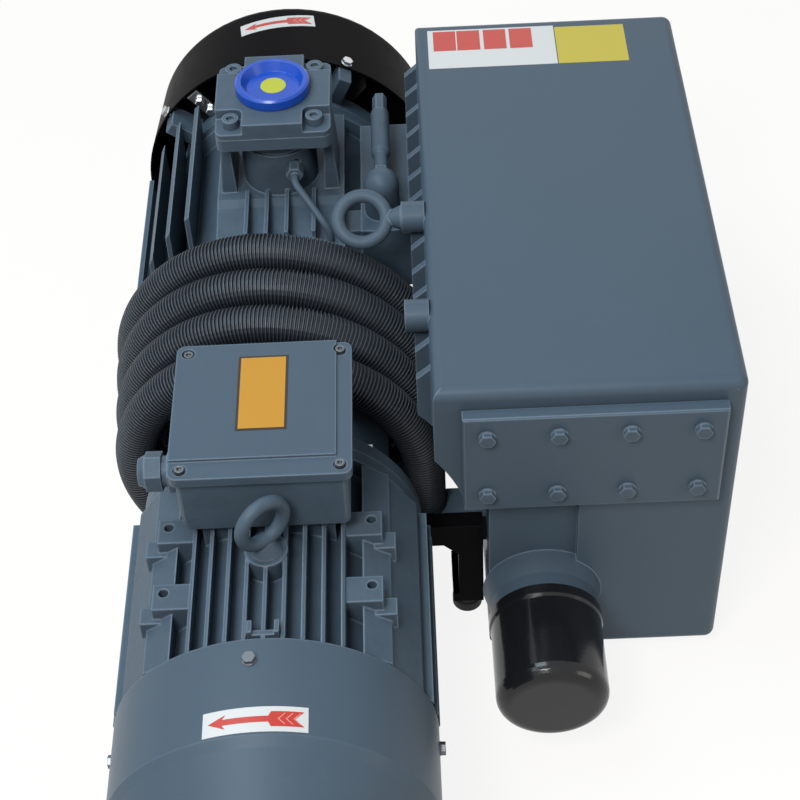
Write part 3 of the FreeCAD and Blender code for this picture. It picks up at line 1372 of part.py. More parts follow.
def float_lugs():
    """Two lugs on the sump's floor and the float's pin between them."""
    x0 = float_pivot_x - 7
    x1 = float_pivot_x + 7
    z0 = box_z0 + wall - 1
    z1 = float_pivot_z + 7
    return [
        box(x0, x1, float_y - 14, float_y - 8, z0, z1),
        box(x0, x1, float_y + 8, float_y + 14, z0, z1),
        rod(float_pin_r, 20, (float_pivot_x, float_y - 10, float_pivot_z), (0, 1, 0))]


def build_separator():
    """The hollow housing with the partition that holds the exhaust filters, its bores and its threads."""
    cavity = separator_outline(wall, wall + recess_depth, box_length - wall)
    body = separator_outside().cut(cavity.cut(coil_scoop(wall)).cut(cowl_scoop(wall)))
    inside_x = box_x0 + wall
    right_x = box_x0 + box_width
    partition_y = filter_y0 + filter_length
    partition = box(inside_x - 1, right_x - wall + 1, partition_y, partition_y + partition_thickness,
                    sump_top_z + 4, box_z1 - wall + 1)
    plate_z = plate_z0 + plate_height / 2
    collar_hole_r = filter_collar_r + fit_gap
    for x in filter_places():
        partition = partition.cut(rod(collar_hole_r, 20, (x, partition_y - 5, plate_z), (0, 1, 0)))
    body = body.fuse([partition] + float_lugs()).cut(cover_window(-1, wall + recess_depth + 1))
    edge_x = box_x0 - rib_depth
    duct_y0 = port_y0 + port_wall
    duct_y1 = port_y1 - port_wall
    body = body.cut(box(edge_x - 1, inside_x + 1, duct_y0, duct_y1, port_z0 + port_wall, port_z1 - port_wall))
    body = body.cut(rod(outlet_r, 60, (outlet_x, box_length - 30, outlet_z), (0, 1, 0)))
    for x, z in cover_bolt_places():
        body = body.cut(rod(cover_bolt_r + fit_gap, wall + recess_depth + 6, (x, -1, z), (0, 1, 0)))
    inner_right = right_x - wall - 6
    body = body.cut(rod(glass_r, 20, (inner_right, glass_y, glass_z), (1, 0, 0)))
    body = body.cut(rod(filler_r, 20, (inner_right, filler_y, filler_z), (1, 0, 0)))
    body = body.cut(rod(drain_r, 20, (inner_right, glass_y, drain_z), (1, 0, 0)))
    eye_y = rib_first_y + boss_rib_numbers[1] * rib_pitch
    body = body.cut(rod(eye_shank_r + fit_gap, 18, (boss_end_x - 1, eye_y, boss_z), (1, 0, 0)))
    oil_r = coil_plain_r - 3
    oil_out = coil_point(0)
    oil_in = coil_point(2 * coil_turns - 1)
    out_z = coil_drop_z - fitting_block_z / 2
    in_z = shaft_z - coil_shift_x + oil_in.x
    body = body.cut(rod(oil_r, 20, (sump_x0 - 2, oil_out.y, out_z), (1, 0, 0)))
    body = body.cut(rod(oil_r, 20, (sump_x0 - 2, oil_in.y, in_z), (1, 0, 0)))
    nipple = rod(nipple_r, 12, (can_x, head_end_y + 2, can_z), (0, -1, 0))
    nodes["separator_housing"] = body.fuse(nipple).removeSplitter()
    build_cover(cover_bolt_places())
    build_filters(plate_z)


def build_cover(bolt_places):
    x1 = plate_x0 + plate_width
    z1 = plate_z0 + plate_height
    gasket = box(plate_x0 + 3, x1 - 3, -cover_gasket, 0, plate_z0 + 3, z1 - 3)
    gasket = gasket.cut(cover_window(-cover_gasket - 1, 1))
    y0 = -cover_gasket - plate_thickness
    plate = box(plate_x0, x1, y0, -cover_gasket, plate_z0, z1)
    plate = plate.makeChamfer(1.5, [edge for edge in plate.Edges if edge.BoundBox.YMax < y0 + 0.1])
    bolts = []
    for x, z in bolt_places:
        hole = rod(cover_bolt_r + fit_gap, 40, (x, y0 - 1, z), (0, 1, 0))
        gasket = gasket.cut(hole)
        plate = plate.cut(hole)
        bolts.append(hex_bolt(cover_bolt_r, 24, (x, y0, z), (0, -1, 0)))
    nodes["cover_gasket"] = gasket
    nodes["cover_plate"] = plate
    nodes["cover_bolts"] = group(bolts)


def build_filters(plate_z):
    """Tube-shaped exhaust filters, each pressed into the partition by a leaf spring under the cover."""
    elements = []
    springs = []
    end_y = filter_y0 + filter_length
    near = -cover_gasket + 0.1
    far = filter_y0 - 0.1
    sheet = spring_leaf_thickness
    half = spring_leaf_half
    core_r = filter_r - 2
    inner_r = filter_collar_r - 6
    for x in filter_places():
        profile = [
            (0, filter_y0), (filter_r, filter_y0), (filter_r, filter_y0 + 12), (core_r, filter_y0 + 12),
            (core_r, end_y - 12), (filter_r, end_y - 12), (filter_r, end_y), (filter_collar_r, end_y),
            (filter_collar_r, end_y + 10), (inner_r, end_y + 10), (inner_r, filter_y0 + 6),
            (0, filter_y0 + 6)]
        elements.append(turned(profile, (x, plate_z)))
        strip = [
            (x - half, far), (x - half, far - sheet), (x - 4, near + sheet), (x - 4, near), (x + 4, near),
            (x + 4, near + sheet), (x + half, far - sheet), (x + half, far), (x + half - 5, far),
            (x + 3, near + 2 * sheet), (x - 3, near + 2 * sheet), (x - half + 5, far)]
        corners = [V(px, py, plate_z - 6) for px, py in strip]
        springs.append(Part.Face(Part.makePolygon(corners + [corners[0]])).extrude(V(0, 0, 12)))
    nodes["exhaust_filters"] = group(elements)
    nodes["filter_springs"] = group(springs)


def build_exhaust_reeds():
    """Thin valve strips over the exhaust holes, each under a stop plate, in the port's chamber."""
    seat_x = box_x0 - rib_depth - reed_chamber
    low_z = exhaust_hole_z - 24
    spacer_x = seat_x + reed_thickness
    stop_x = spacer_x + reed_travel
    strips = []
    for y in exhaust_hole_places():
        strips.append(box(seat_x, spacer_x, y - 10, y + 10, low_z, exhaust_hole_z + 12))
        spacer = box(spacer_x, stop_x, y - 9, y + 9, low_z, low_z + 14)
        stop = box(stop_x, stop_x + 2, y - 9, y + 9, low_z, exhaust_hole_z + 10)
        strips.append(fused([spacer, stop]))
    nodes["exhaust_reeds"] = group(strips)


def build_oil_filter():
    """Spin-on filter can on the head's nipple."""
    base_y = head_end_y - face_gap
    end_y = base_y - can_length
    sheet = can_sheet
    lip_r = can_r + can_lip
    rounding = quarter_round(can_round, can_r - can_round, end_y + can_round, -1)
    inner = [(radius - sheet, y + sheet) for radius, y in reversed(rounding)]
    hole_r = nipple_r + fit_gap
    profile = [(hole_r, base_y), (lip_r, base_y), (lip_r, base_y - 10), (can_r, base_y - 13)]
    profile += rounding + [(0, end_y), (0, end_y + sheet)] + inner
    profile += [(can_r - sheet, base_y - 6), (hole_r, base_y - 6)]
    nodes["oil_filter_can"] = turned(profile, (can_x, can_z))


def build_plugs():
    """Sight glass, oil filler plug and drain plug in the separator's right wall."""
    right_x = box_x0 + box_width
    inside_x = right_x - wall
    bezel = rod(24, 6, (right_x, glass_y, glass_z), (1, 0, 0))
    bezel = bezel.cut(rod(14, 20, (right_x - 1, glass_y, glass_z), (1, 0, 0)))
    glass = rod(glass_r - fit_gap, wall, (inside_x, glass_y, glass_z), (1, 0, 0))
    nodes["oil_sight_glass"] = fused([glass, bezel])
    filler = fused([
        rod(filler_r - fit_gap, wall, (inside_x, filler_y, filler_z), (1, 0, 0)),
        rod(20, 5, (right_x, filler_y, filler_z), (1, 0, 0)),
        hexagon(22, 10, (right_x + 5, filler_y, filler_z), (1, 0, 0))])
    drain = fused([
        rod(drain_r - fit_gap, wall, (inside_x, glass_y, drain_z), (1, 0, 0)),
        rod(14, 3, (right_x, glass_y, drain_z), (1, 0, 0)),
        hexagon(19, 8, (right_x + 3, glass_y, drain_z), (1, 0, 0))])
    nodes["oil_plugs"] = group([filler, drain])


def build_separator_eye():
    eye_y = rib_first_y + boss_rib_numbers[1] * rib_pitch
    tilt = math.radians(sep_eye_tilt)
    normal = (0, -math.sin(tilt), math.cos(tilt))
    base = (boss_end_x, eye_y, boss_z)
    centre = (sep_eye_centre_x, eye_y, boss_z)
    nodes["separator_lifting_eye"] = eye_bolt(
        base, centre, normal, sep_eye_ring_r, sep_eye_wire_r, eye_collar, eye_shank_r, 14)


def build_float():
    """Float lever: the ball's seam lies away from the arm."""
    x = float_pivot_x
    z = float_pivot_z
    half = float_arm_half
    eye = rod(float_pin_r + 4, 14, (x, float_y - 7, z), (0, 1, 0))
    arm = box(x - float_arm, x, float_y - half, float_y + half, z - half, z + half)
    ball = Part.makeSphere(float_r, V(x - float_arm, float_y, z))
    ball.rotate(V(x - float_arm, float_y, z), V(0, 0, 1), 180)
    lever = fused([eye, arm, ball])
    nodes["float_lever"] = lever.cut(rod(float_pin_r + running_gap, 40, (x, float_y - 20, z), (0, 1, 0)))


def rubber_foot(x, y):
    """Waisted rubber cylinder between two end plates, with the mounting thread in its base."""
    waist_r = foot_r - 1.5
    profile = [
        (0, 0), (foot_r, 0), (foot_r, 10), (waist_r, 12), (waist_r, foot_height - 12),
        (foot_r, foot_height - 10), (foot_r, foot_height), (0, foot_height)]
    return turned_up(profile, (x, y)).cut(rod(foot_hole_r, 18, (x, y, 0), (0, 0, 1)))


def build_feet():
    """Arch-shaped brackets under the coupling housing and the cylinder, each on two rubber feet."""
    right = foot_x1 + foot_r
    left = foot_x0 - foot_r
    low = foot_height + lug_thickness
    inner_left = left + bracket_leg
    inner_right = right - bracket_leg
    outline = [
        (right, low), (right, bracket_top_z), (left, bracket_top_z), (left, low), (inner_left, low),
        (inner_left, bracket_web_z + 22), (-75, bracket_web_z), (60, bracket_web_z), (105, bracket_arch_z),
        (inner_right - 14, bracket_arch_z), (inner_right, bracket_arch_z - 14), (inner_right, low)]
    brackets = []
    feet = []
    bolts = []
    places = ((bracket_front_y, foot_y0, housing_r), (bracket_rear_y, foot_y1, cylinder_r))
    for plate_y, foot_y, seat_r in places:
        pieces = [extruded_y(outline, plate_y, plate_y + bracket_thickness)]
        for x in (foot_x0, foot_x1):
            lug_y0 = min(plate_y, foot_y - foot_r)
            lug_y1 = max(plate_y + bracket_thickness, foot_y + foot_r)
            pieces.append(box(x - foot_r, x + foot_r, lug_y0, lug_y1, foot_height, low))
        seat = shaft_rod(seat_r, plate_y - foot_r, plate_y + bracket_thickness + foot_r)
        bracket = fused(pieces).cut(seat).cut(nodes["pump_cylinder"])
        hole_r = foot_bolt_r + fit_gap
        for x in (foot_x0, foot_x1):
            bracket = bracket.cut(rod(hole_r, 2 * lug_thickness, (x, foot_y, foot_height - 1), (0, 0, 1)))
            foot = rubber_foot(x, foot_y).cut(rod(hole_r, 16, (x, foot_y, foot_height - 15), (0, 0, 1)))
            feet.append(foot)
            bolts.append(hex_bolt(foot_bolt_r, lug_thickness + 13, (x, foot_y, low), (0, 0, 1)))
        brackets.append(bracket)
    nodes["foot_brackets"] = group(brackets)
    nodes["rubber_feet"] = group(feet)
    nodes["foot_bolts"] = group(bolts)


build_motor_frame()
build_motor_shields()
build_motor_inside()
build_motor_cowl()
build_terminal_box()
build_motor_eye()
build_coupling()
build_coupling_housing()
build_cooler()
build_pump_cylinder()
build_pump_plates()
build_pump_rotor()
build_pump_cowl()
build_inlet()
build_plug()
build_ballast()
build_separator()
build_exhaust_reeds()
build_oil_filter()
build_plugs()
build_separator_eye()
build_float()
build_feet()

# Move everything so that the origin is the centre of the feet on the floor, and write one file per piece.
datum = V((foot_x0 + foot_x1) / 2, (foot_y0 + foot_y1) / 2, 0)
os.makedirs("parts", exist_ok=True)
for name, shape in nodes.items():
    piece = shape.copy()
    piece.translate(datum.negative())
    piece.exportStep("parts/" + name + ".step")
    volume = round(piece.Volume / 1000, 1)
    print(name, "solids", len(piece.Solids), "valid", piece.isValid(), "volume", volume)
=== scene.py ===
# Oil-lubricated rotary vane vacuum pump: finishes, finned cooler tube, labels and small trim.

import json
import math

import bmesh
import bpy
from mathutils import Matrix, Vector


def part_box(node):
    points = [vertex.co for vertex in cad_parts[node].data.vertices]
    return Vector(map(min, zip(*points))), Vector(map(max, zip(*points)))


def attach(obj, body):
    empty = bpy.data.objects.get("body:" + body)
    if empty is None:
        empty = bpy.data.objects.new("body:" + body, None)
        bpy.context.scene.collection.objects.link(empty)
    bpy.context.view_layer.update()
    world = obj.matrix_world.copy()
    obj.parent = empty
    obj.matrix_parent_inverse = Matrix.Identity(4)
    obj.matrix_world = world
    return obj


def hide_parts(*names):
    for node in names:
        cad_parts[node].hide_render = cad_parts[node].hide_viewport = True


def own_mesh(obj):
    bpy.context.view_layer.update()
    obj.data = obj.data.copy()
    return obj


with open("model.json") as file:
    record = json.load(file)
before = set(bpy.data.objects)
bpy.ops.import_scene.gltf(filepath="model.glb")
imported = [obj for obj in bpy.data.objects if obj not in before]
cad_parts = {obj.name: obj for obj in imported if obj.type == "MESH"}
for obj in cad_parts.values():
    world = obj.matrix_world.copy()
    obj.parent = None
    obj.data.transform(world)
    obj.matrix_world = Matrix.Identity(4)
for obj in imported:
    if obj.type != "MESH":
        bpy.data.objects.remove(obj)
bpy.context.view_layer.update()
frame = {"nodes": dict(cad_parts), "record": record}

# The photograph's viewpoint
camera_place = (0.10776, -1.31476, 1.48068)
camera_heading = math.radians(1.086)
camera_dip = math.radians(46.12)
camera_roll = math.radians(-3.238)
camera_lens_mm = 80.93
sensor_mm = 36.0

# Floor and surroundings: the floor's glow for the camera, and the light that comes from all round
floor_reach = 30.0
floor_glow = 0.88
around_light = 0.2

# Index of refraction, which sets how strongly a paint mirrors the white surroundings
paint_ior = 1.25
black_paint_ior = 1.08
can_enamel_ior = 1.4

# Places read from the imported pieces
lid_low, lid_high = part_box("terminal_box_lid")
pump_cowl_low, pump_cowl_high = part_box("pump_fan_cowl")
separator_low, separator_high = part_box("separator_housing")
plug_low, plug_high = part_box("inlet_plug")
glass_low, glass_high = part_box("oil_sight_glass")
housing_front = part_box("coupling_housing")[0].y
motor_cowl_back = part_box("motor_fan_cowl")[1].y
shaft_x = (pump_cowl_low.x + pump_cowl_high.x) / 2
shaft_z = (pump_cowl_low.z + pump_cowl_high.z) / 2

# Cowls: the far one tapers from its rim to the rounded edge of its end
motor_cowl_r = 0.136
pump_cowl_rim_r = (pump_cowl_high.x - pump_cowl_low.x) / 2
pump_cowl_end_r = 0.153
pump_cowl_round = 0.014
pump_cowl_taper_length = pump_cowl_high.y - pump_cowl_low.y - pump_cowl_round

# Sticker film, and the width of the strips that let it bend
film_thickness = 0.00025
film_strip = 0.006

# Arrow on both cowls: u runs along it from its middle, its tip is on the left
arrow_film_length = 0.082
arrow_film_width = 0.0225
arrow_tip_u = -0.0366
arrow_barb_u = -0.0228
arrow_barb_half = 0.0064
arrow_neck_u = -0.0254
arrow_shaft_half = 0.0026
arrow_shaft_end_u = 0.0103
arrow_tail_u0 = 0.0125
arrow_tail_half = 0.0067
arrow_tail_u1 = 0.0377
arrow_notch_u = 0.031
feather_count = 3
feather_first = 0.005
feather_pitch = 0.006
feather_lean = 0.005
feather_width = 0.0012
feather_half = arrow_tail_half * 0.75
arrow_from_rim = 0.0755
motor_arrow_shift = -0.0035
motor_arrow_turn = math.radians(0.5)
pump_arrow_shift = -0.0075
pump_arrow_turn = math.radians(6.4)

# Label on the terminal box lid
lid_label_from_front = 0.0918
lid_border_half_u = 0.0213
lid_border_half_v = 0.0432
lid_field_half_u = 0.0191
lid_field_half_v = 0.041

# Strip and yellow label on the separator, whose side bosses stand a little over its level top;
# the strip's fields are shares of its length and width
side_boss_rise = 0.001
separator_top_z = separator_high.z - side_boss_rise
strip_length = 0.132
strip_width = 0.067
strip_from_shaft = 0.155
strip_from_front = 0.505
strip_fields = ((0.043, 0.22), (0.23, 0.41), (0.44, 0.617), (0.644, 0.822))
strip_fields_front = 0.45
strip_fields_back = 0.96
yellow_gap = 0.001
yellow_length = 0.072
yellow_width = 0.064

# Disc in the transport plug
plug_x = (plug_low.x + plug_high.x) / 2
plug_y = (plug_low.y + plug_high.y) / 2
plug_rim_height = 0.012
plug_floor = 0.003
plug_disc_r = 0.0125
plug_disc_corners = 40
plug_disc_shift_x = 0.0005
plug_disc_shift_y = 0.002

# Tab at the far cowl's rim
tab_angle = math.radians(129.7)
tab_setback = 0.0028
tab_thickness = 0.0025
tab_width = 0.014
tab_r0 = 0.119
tab_r1 = 0.157
tab_bolt_rs = (0.1295, 0.1455)
bolt_flats = 0.009
bolt_height = 0.005

# Rings: the gauge's bezel and back, and the dark ring behind the far cowl's slots, which is painted
# shade
ring_corners = 64
gauge_y = (glass_low.y + glass_high.y) / 2
gauge_z = (glass_low.z + glass_high.z) / 2
gauge_level = gauge_z + 0.003
gauge_line_half = 0.0004
gauge_r = 0.0174
gauge_hole_r = 0.0004
gauge_depth = 0.0024
gauge_behind_glass = 0.003
bezel_outer_r = 0.0246
bezel_inner_r = 0.0138
bezel_depth = 0.0064
# The dark ring is painted shade: a sheet that stands in for the shaded inside of the cowl
shade_ring_outer_r = 0.1495
shade_ring_inner_r = 0.07
shade_ring_depth = 0.0012
shade_ring_setback = 0.0045

# Spring of the non-return valve
spring_wire_r = 0.0008
spring_turns = 3
spring_steps = 24
spring_sides = 8

# Finned cooler tube, wound round the coupling housing
coil_first_r = 0.137
coil_last_r = 0.149
coil_shift_x = -0.004
coil_pitch = 0.046
coil_half_turns = 7
coil_first_top = 0.080
coil_drop_z = 0.150
coil_run_end = 0.150
coil_root_r = 0.0172
coil_tip_r = 0.0195
fin_pitch = 0.0034
fin_sides = 24
fin_profile = ((0.0, coil_root_r), (0.3, coil_root_r), (0.5, coil_tip_r), (0.75, coil_tip_r))


def screen_colour(red, green, blue):
    """A colour as a screen shows it, 0 to 255, as the linear values that a shader takes."""
    linear = []
    for channel in (red, green, blue):
        share = channel / 255
        linear.append(share / 12.92 if share <= 0.04045 else ((share + 0.055) / 1.055) ** 2.4)
    return (*linear, 1.0)


# Colours
white = (1.0, 1.0, 1.0, 1.0)
paint_blue_grey = screen_colour(65, 79, 92)
paint_blue_grey_worn = screen_colour(77, 91, 104)
# Lighter blue-grey along the paints' edges: a painted highlight
paint_edge_highlight = screen_colour(122, 138, 154)
cowl_black = screen_colour(11, 10, 12)
# Grey along the cowl's edges: a painted highlight
cowl_edge_highlight = screen_colour(52, 52, 56)
can_black = screen_colour(22, 22, 24)
# Grey along the can's edges: a painted highlight
can_edge_highlight = screen_colour(56, 56, 60)
coil_black = screen_colour(26, 31, 38)
# Lighter grey for the fins' tips: a painted highlight along their crests
coil_fin_highlight = screen_colour(62, 71, 82)
screw_dark = screen_colour(104, 108, 114)
zinc_grey = screen_colour(196, 198, 200)
steel_grey = screen_colour(160, 160, 162)
iron_grey = screen_colour(92, 92, 94)
copper_red = screen_colour(184, 104, 60)
fan_grey = screen_colour(42, 43, 45)
vane_brown = screen_colour(58, 50, 44)
rubber_black = screen_colour(24, 24, 25)
fibre_white = screen_colour(222, 220, 210)
glass_tint = screen_colour(226, 236, 228)
oil_amber = screen_colour(176, 112, 24)
gauge_pale = screen_colour(214, 212, 204)
plug_blue = screen_colour(16, 72, 176)
disc_yellow = screen_colour(166, 170, 40)
label_orange = screen_colour(172, 122, 28)
label_dark = screen_colour(36, 24, 16)
label_white = screen_colour(190, 190, 190)
label_red = screen_colour(172, 46, 36)
label_pink = screen_colour(200, 124, 116)
label_yellow = screen_colour(172, 156, 24)
floor_white = screen_colour(242, 234, 222)


class Value:
    """A socket of a shader's node tree that can be used in expressions."""

    def __init__(self, shader, socket):
        self.shader = shader
        self.socket = socket

    def maths(self, operation, first, second):
        return self.shader.node("Math", {"operation": operation}, {0: first, 1: second})

    def __add__(self, other):
        return self.maths("ADD", self, other)

    def __radd__(self, other):
        return self.maths("ADD", other, self)

    def __sub__(self, other):
        return self.maths("SUBTRACT", self, other)

    def __rsub__(self, other):
        return self.maths("SUBTRACT", other, self)

    def __mul__(self, other):
        return self.maths("MULTIPLY", self, other)

    def __rmul__(self, other):
        return self.maths("MULTIPLY", other, self)

    def larger(self, other):
        return self.maths("MAXIMUM", self, other)


class Shader:
    """A node tree whose nodes are made one by one, each from its type, settings and inputs."""

    def __init__(self, holder):
        self.holder = holder
        holder.use_nodes = True
        self.tree = holder.node_tree
        self.tree.nodes.clear()

    def node(self, kind, settings=None, inputs=None, output=0):
        made = self.tree.nodes.new("ShaderNode" + kind)
        for name, setting in (settings or {}).items():
            setattr(made, name, setting)
        for name, given in (inputs or {}).items():
            self.feed(self.find(made.inputs, name), given)
        return Value(self, self.find(made.outputs, output)) if len(made.outputs) else None

    def find(self, sockets, name):
        """A socket by its place, or by its name among those that the settings leave on."""
        if isinstance(name, int):
            return sockets[name]
        return next(socket for socket in sockets if socket.name == name and socket.enabled)

    def feed(self, socket, given):
        if isinstance(given, Value):
            self.tree.links.new(given.socket, socket)
        else:
            socket.default_value = given

    def blend(self, share, first, second):
        inputs = {"Factor": share, "A": first, "B": second}
        return self.node("Mix", {"data_type": "RGBA"}, inputs, "Result")

    def place(self):
        return self.node("TexCoord", {}, {}, "Object")

    def noise(self, scale, detail=3.0, roughness=0.55):
        inputs = {"Vector": self.place(), "Scale": scale, "Detail": detail, "Roughness": roughness}
        return self.node("TexNoise", {}, inputs, "Fac")

    def ramp(self, share, low, high):
        """0 below low, 1 above high, smooth between."""
        settings = {"interpolation_type": "SMOOTHSTEP"}
        inputs = {"Value": share, "From Min": low, "From Max": high}
        return self.node("MapRange", settings, inputs, "Result")

    def edge_normal(self, radius):
        return self.node("Bevel", {"samples": 4}, {"Radius": radius}, "Normal")

    def edges(self, radius, low=0.004, high=0.1):
        """1 along sharp edges, 0 on the faces between them."""
        face = self.node("NewGeometry", {}, {}, "Normal")
        inputs = {0: self.edge_normal(radius), 1: face}
        level = self.node("VectorMath", {"operation": "DOT_PRODUCT"}, inputs, "Value")
        return self.ramp(1 - level, low, high)

    def height(self):
        return self.node("SeparateXYZ", {}, {0: self.place()}, "Z")

    def seen(self):
        """1 for what the camera sees, straight, mirrored or through glass, and 0 for light."""
        straight = self.node("LightPath", {}, {}, "Is Camera Ray")
        mirrored = self.node("LightPath", {}, {}, "Is Glossy Ray")
        through = self.node("LightPath", {}, {}, "Is Transmission Ray")
        return straight.larger(mirrored).larger(through)

    def bump(self, height, depth, strength=1.0, normal=None):
        inputs = {"Height": height, "Distance": depth, "Strength": strength}
        if normal is not None:
            inputs["Normal"] = normal
        return self.node("Bump", {}, inputs, "Normal")

    def surface(self, inputs):
        shader = self.node("BsdfPrincipled", {}, inputs, "BSDF")
        self.node("OutputMaterial", {}, {"Surface": shader})
        return self.holder


def new_finish(name):
    return Shader(bpy.data.materials.new(name))


def shaded(colour, share):
    """A colour made darker, or lighter where share is above 1."""
    return (*[min(channel * share, 1.0) for channel in colour[:3]], 1.0)


def painted_sheet():
    """Blue-grey machine paint on pressed sheet: orange peel, cloudy gloss, and a painted highlight
    that makes it lighter along the edges.
    """
    paint = new_finish("blue_grey_sheet_paint")
    cloud = paint.noise(scale=6.0, detail=4.0)
    peel = paint.noise(scale=420.0, detail=2.0)
    dust = paint.ramp(paint.noise(scale=38.0, detail=6.0, roughness=0.7), low=0.52, high=0.8)
    worn = cloud * 0.35 + dust * 0.2
    # Painted highlight: lighter paint along sharp edges, where the rounded edges catch the light
    painted_edge_highlight_mask = paint.edges(radius=0.002) * 0.75
    colour = paint.blend(worn, paint_blue_grey, paint_blue_grey_worn)
    soft_edge = paint.edge_normal(radius=0.0016)
    inputs = {
        "Base Color": paint.blend(painted_edge_highlight_mask, colour, paint_edge_highlight),
        "Roughness": cloud * 0.12 + dust * 0.1 + 0.32,
        "IOR": paint_ior,
        "Normal": paint.bump(peel, depth=0.00025, strength=0.35, normal=soft_edge),
    }
    return paint.surface(inputs)


def painted_casting():
    """The same paint over sand-cast iron and aluminium: a coarser skin, darker in scattered
    patches.
    """
    paint = new_finish("blue_grey_casting_paint")
    cloud = paint.noise(scale=9.0, detail=4.0)
    skin = paint.noise(scale=190.0, detail=5.0, roughness=0.6)
    pits = paint.ramp(paint.noise(scale=70.0, detail=6.0, roughness=0.65), low=0.3, high=0.55)
    level = pits * 0.25 + 0.75
    # Painted highlight: lighter paint along sharp edges, where the rounded edges catch the light
    painted_edge_highlight_mask = paint.edges(radius=0.0026) * 0.75
    colour = paint.blend(cloud * 0.5, paint_blue_grey, paint_blue_grey_worn)
    colour = paint.blend(level, shaded(paint_blue_grey, 0.6), colour)
    soft_edge = paint.edge_normal(radius=0.0022)
    inputs = {
        "Base Color": paint.blend(painted_edge_highlight_mask, colour, paint_edge_highlight),
        "Roughness": cloud * 0.14 + skin * 0.1 + 0.34,
        "IOR": paint_ior,
        "Normal": paint.bump(skin, depth=0.0006, strength=0.5, normal=soft_edge),
    }
    return paint.surface(inputs)


def plain_finish(name, colour, roughness, metallic=0.0, grain=300.0, depth=0.0002):
    """A finish of one colour with cloudy gloss and a fine skin."""
    finish = new_finish(name)
    cloud = finish.noise(scale=14.0, detail=4.0)
    skin = finish.noise(grain, detail=3.0)
    soft_edge = finish.edge_normal(radius=0.0008)
    inputs = {
        "Base Color": finish.blend(cloud, shaded(colour, 0.72), colour),
        "Roughness": cloud * 0.16 + (roughness - 0.08),
        "Metallic": metallic,
        "Normal": finish.bump(skin, depth, strength=0.5, normal=soft_edge),
    }
    return finish.surface(inputs)


def black_gloss(name, colour, roughness, edge_highlight_colour, ior):
    """Black enamel on sheet: dull dust on a gloss, with a painted grey highlight along the edges.
    """
    finish = new_finish(name)
    dust = finish.ramp(finish.noise(scale=55.0, detail=6.0, roughness=0.7), low=0.5, high=0.85)
    cloud = finish.noise(scale=8.0, detail=3.0)
    peel = finish.noise(scale=360.0, detail=2.0)
    # Painted highlight: grey along sharp edges, where the edges catch the light
    painted_edge_highlight_mask = finish.edges(radius=0.0012, low=0.04, high=0.25) * 0.4
    dusty = finish.blend(dust * 0.35, colour, shaded(colour, 2.2))
    soft_edge = finish.edge_normal(radius=0.0012)
    inputs = {
        "Base Color": finish.blend(painted_edge_highlight_mask, dusty, edge_highlight_colour),
        "Roughness": cloud * 0.1 + dust * 0.16 + roughness,
        "IOR": ior,
        "Normal": finish.bump(peel, depth=0.00012, strength=0.4, normal=soft_edge),
    }
    return finish.surface(inputs)


def printed_film(name, colour):
    """Printed sticker film: even ink, a little scuffed."""
    finish = new_finish(name)
    scuff = finish.ramp(finish.noise(scale=160.0, detail=5.0, roughness=0.7), low=0.55, high=0.8)
    waves = finish.noise(scale=90.0, detail=2.0)
    inputs = {
        "Base Color": finish.blend(scuff * 0.25, colour, shaded(colour, 0.8)),
        "Roughness": scuff * 0.2 + 0.3,
        "Normal": finish.bump(waves, depth=0.0001, strength=0.5),
    }
    return finish.surface(inputs)


def gauge_back():
    """What shows behind the sight glass: amber oil with a level line under a pale reflector."""
    finish = new_finish("oil_gauge_back")
    low = gauge_level - gauge_line_half
    high = gauge_level + gauge_line_half
    above = finish.ramp(finish.height(), low, high)
    film = finish.noise(scale=120.0, detail=3.0)
    inputs = {
        "Base Color": finish.blend(above, oil_amber, gauge_pale),
        "Roughness": film * 0.1 + 0.15,
        "Normal": finish.bump(film, depth=0.0002, strength=0.3),
    }
    return finish.surface(inputs)


def copper_wire():
    finish = new_finish("enamelled_copper_wire")
    bands = {"wave_type": "BANDS", "bands_direction": "Z"}
    waves = {"Vector": finish.place(), "Scale": 180.0, "Distortion": 2.0}
    strands = finish.node("TexWave", bands, waves, "Fac")
    inputs = {
        "Base Color": finish.blend(strands, shaded(copper_red, 0.4), copper_red),
        "Roughness": strands * 0.1 + 0.3,
        "Metallic": 0.8,
        "Normal": finish.bump(strands, depth=0.001),
    }
    return finish.surface(inputs)


def filter_fleece():
    finish = new_finish("glass_fibre_fleece")
    fibres = finish.noise(scale=260.0, detail=8.0, roughness=0.75)
    inputs = {
        "Base Color": finish.blend(fibres, shaded(fibre_white, 0.6), fibre_white),
        "Roughness": 0.95,
        "Normal": finish.bump(fibres, depth=0.0015),
    }
    return finish.surface(inputs)


def clear_glass():
    finish = new_finish("sight_glass")
    inputs = {
        "Base Color": glass_tint,
        "Roughness": finish.noise(scale=30.0) * 0.05 + 0.03,
        "Transmission Weight": 1.0,
        "IOR": 1.5,
    }
    return finish.surface(inputs)


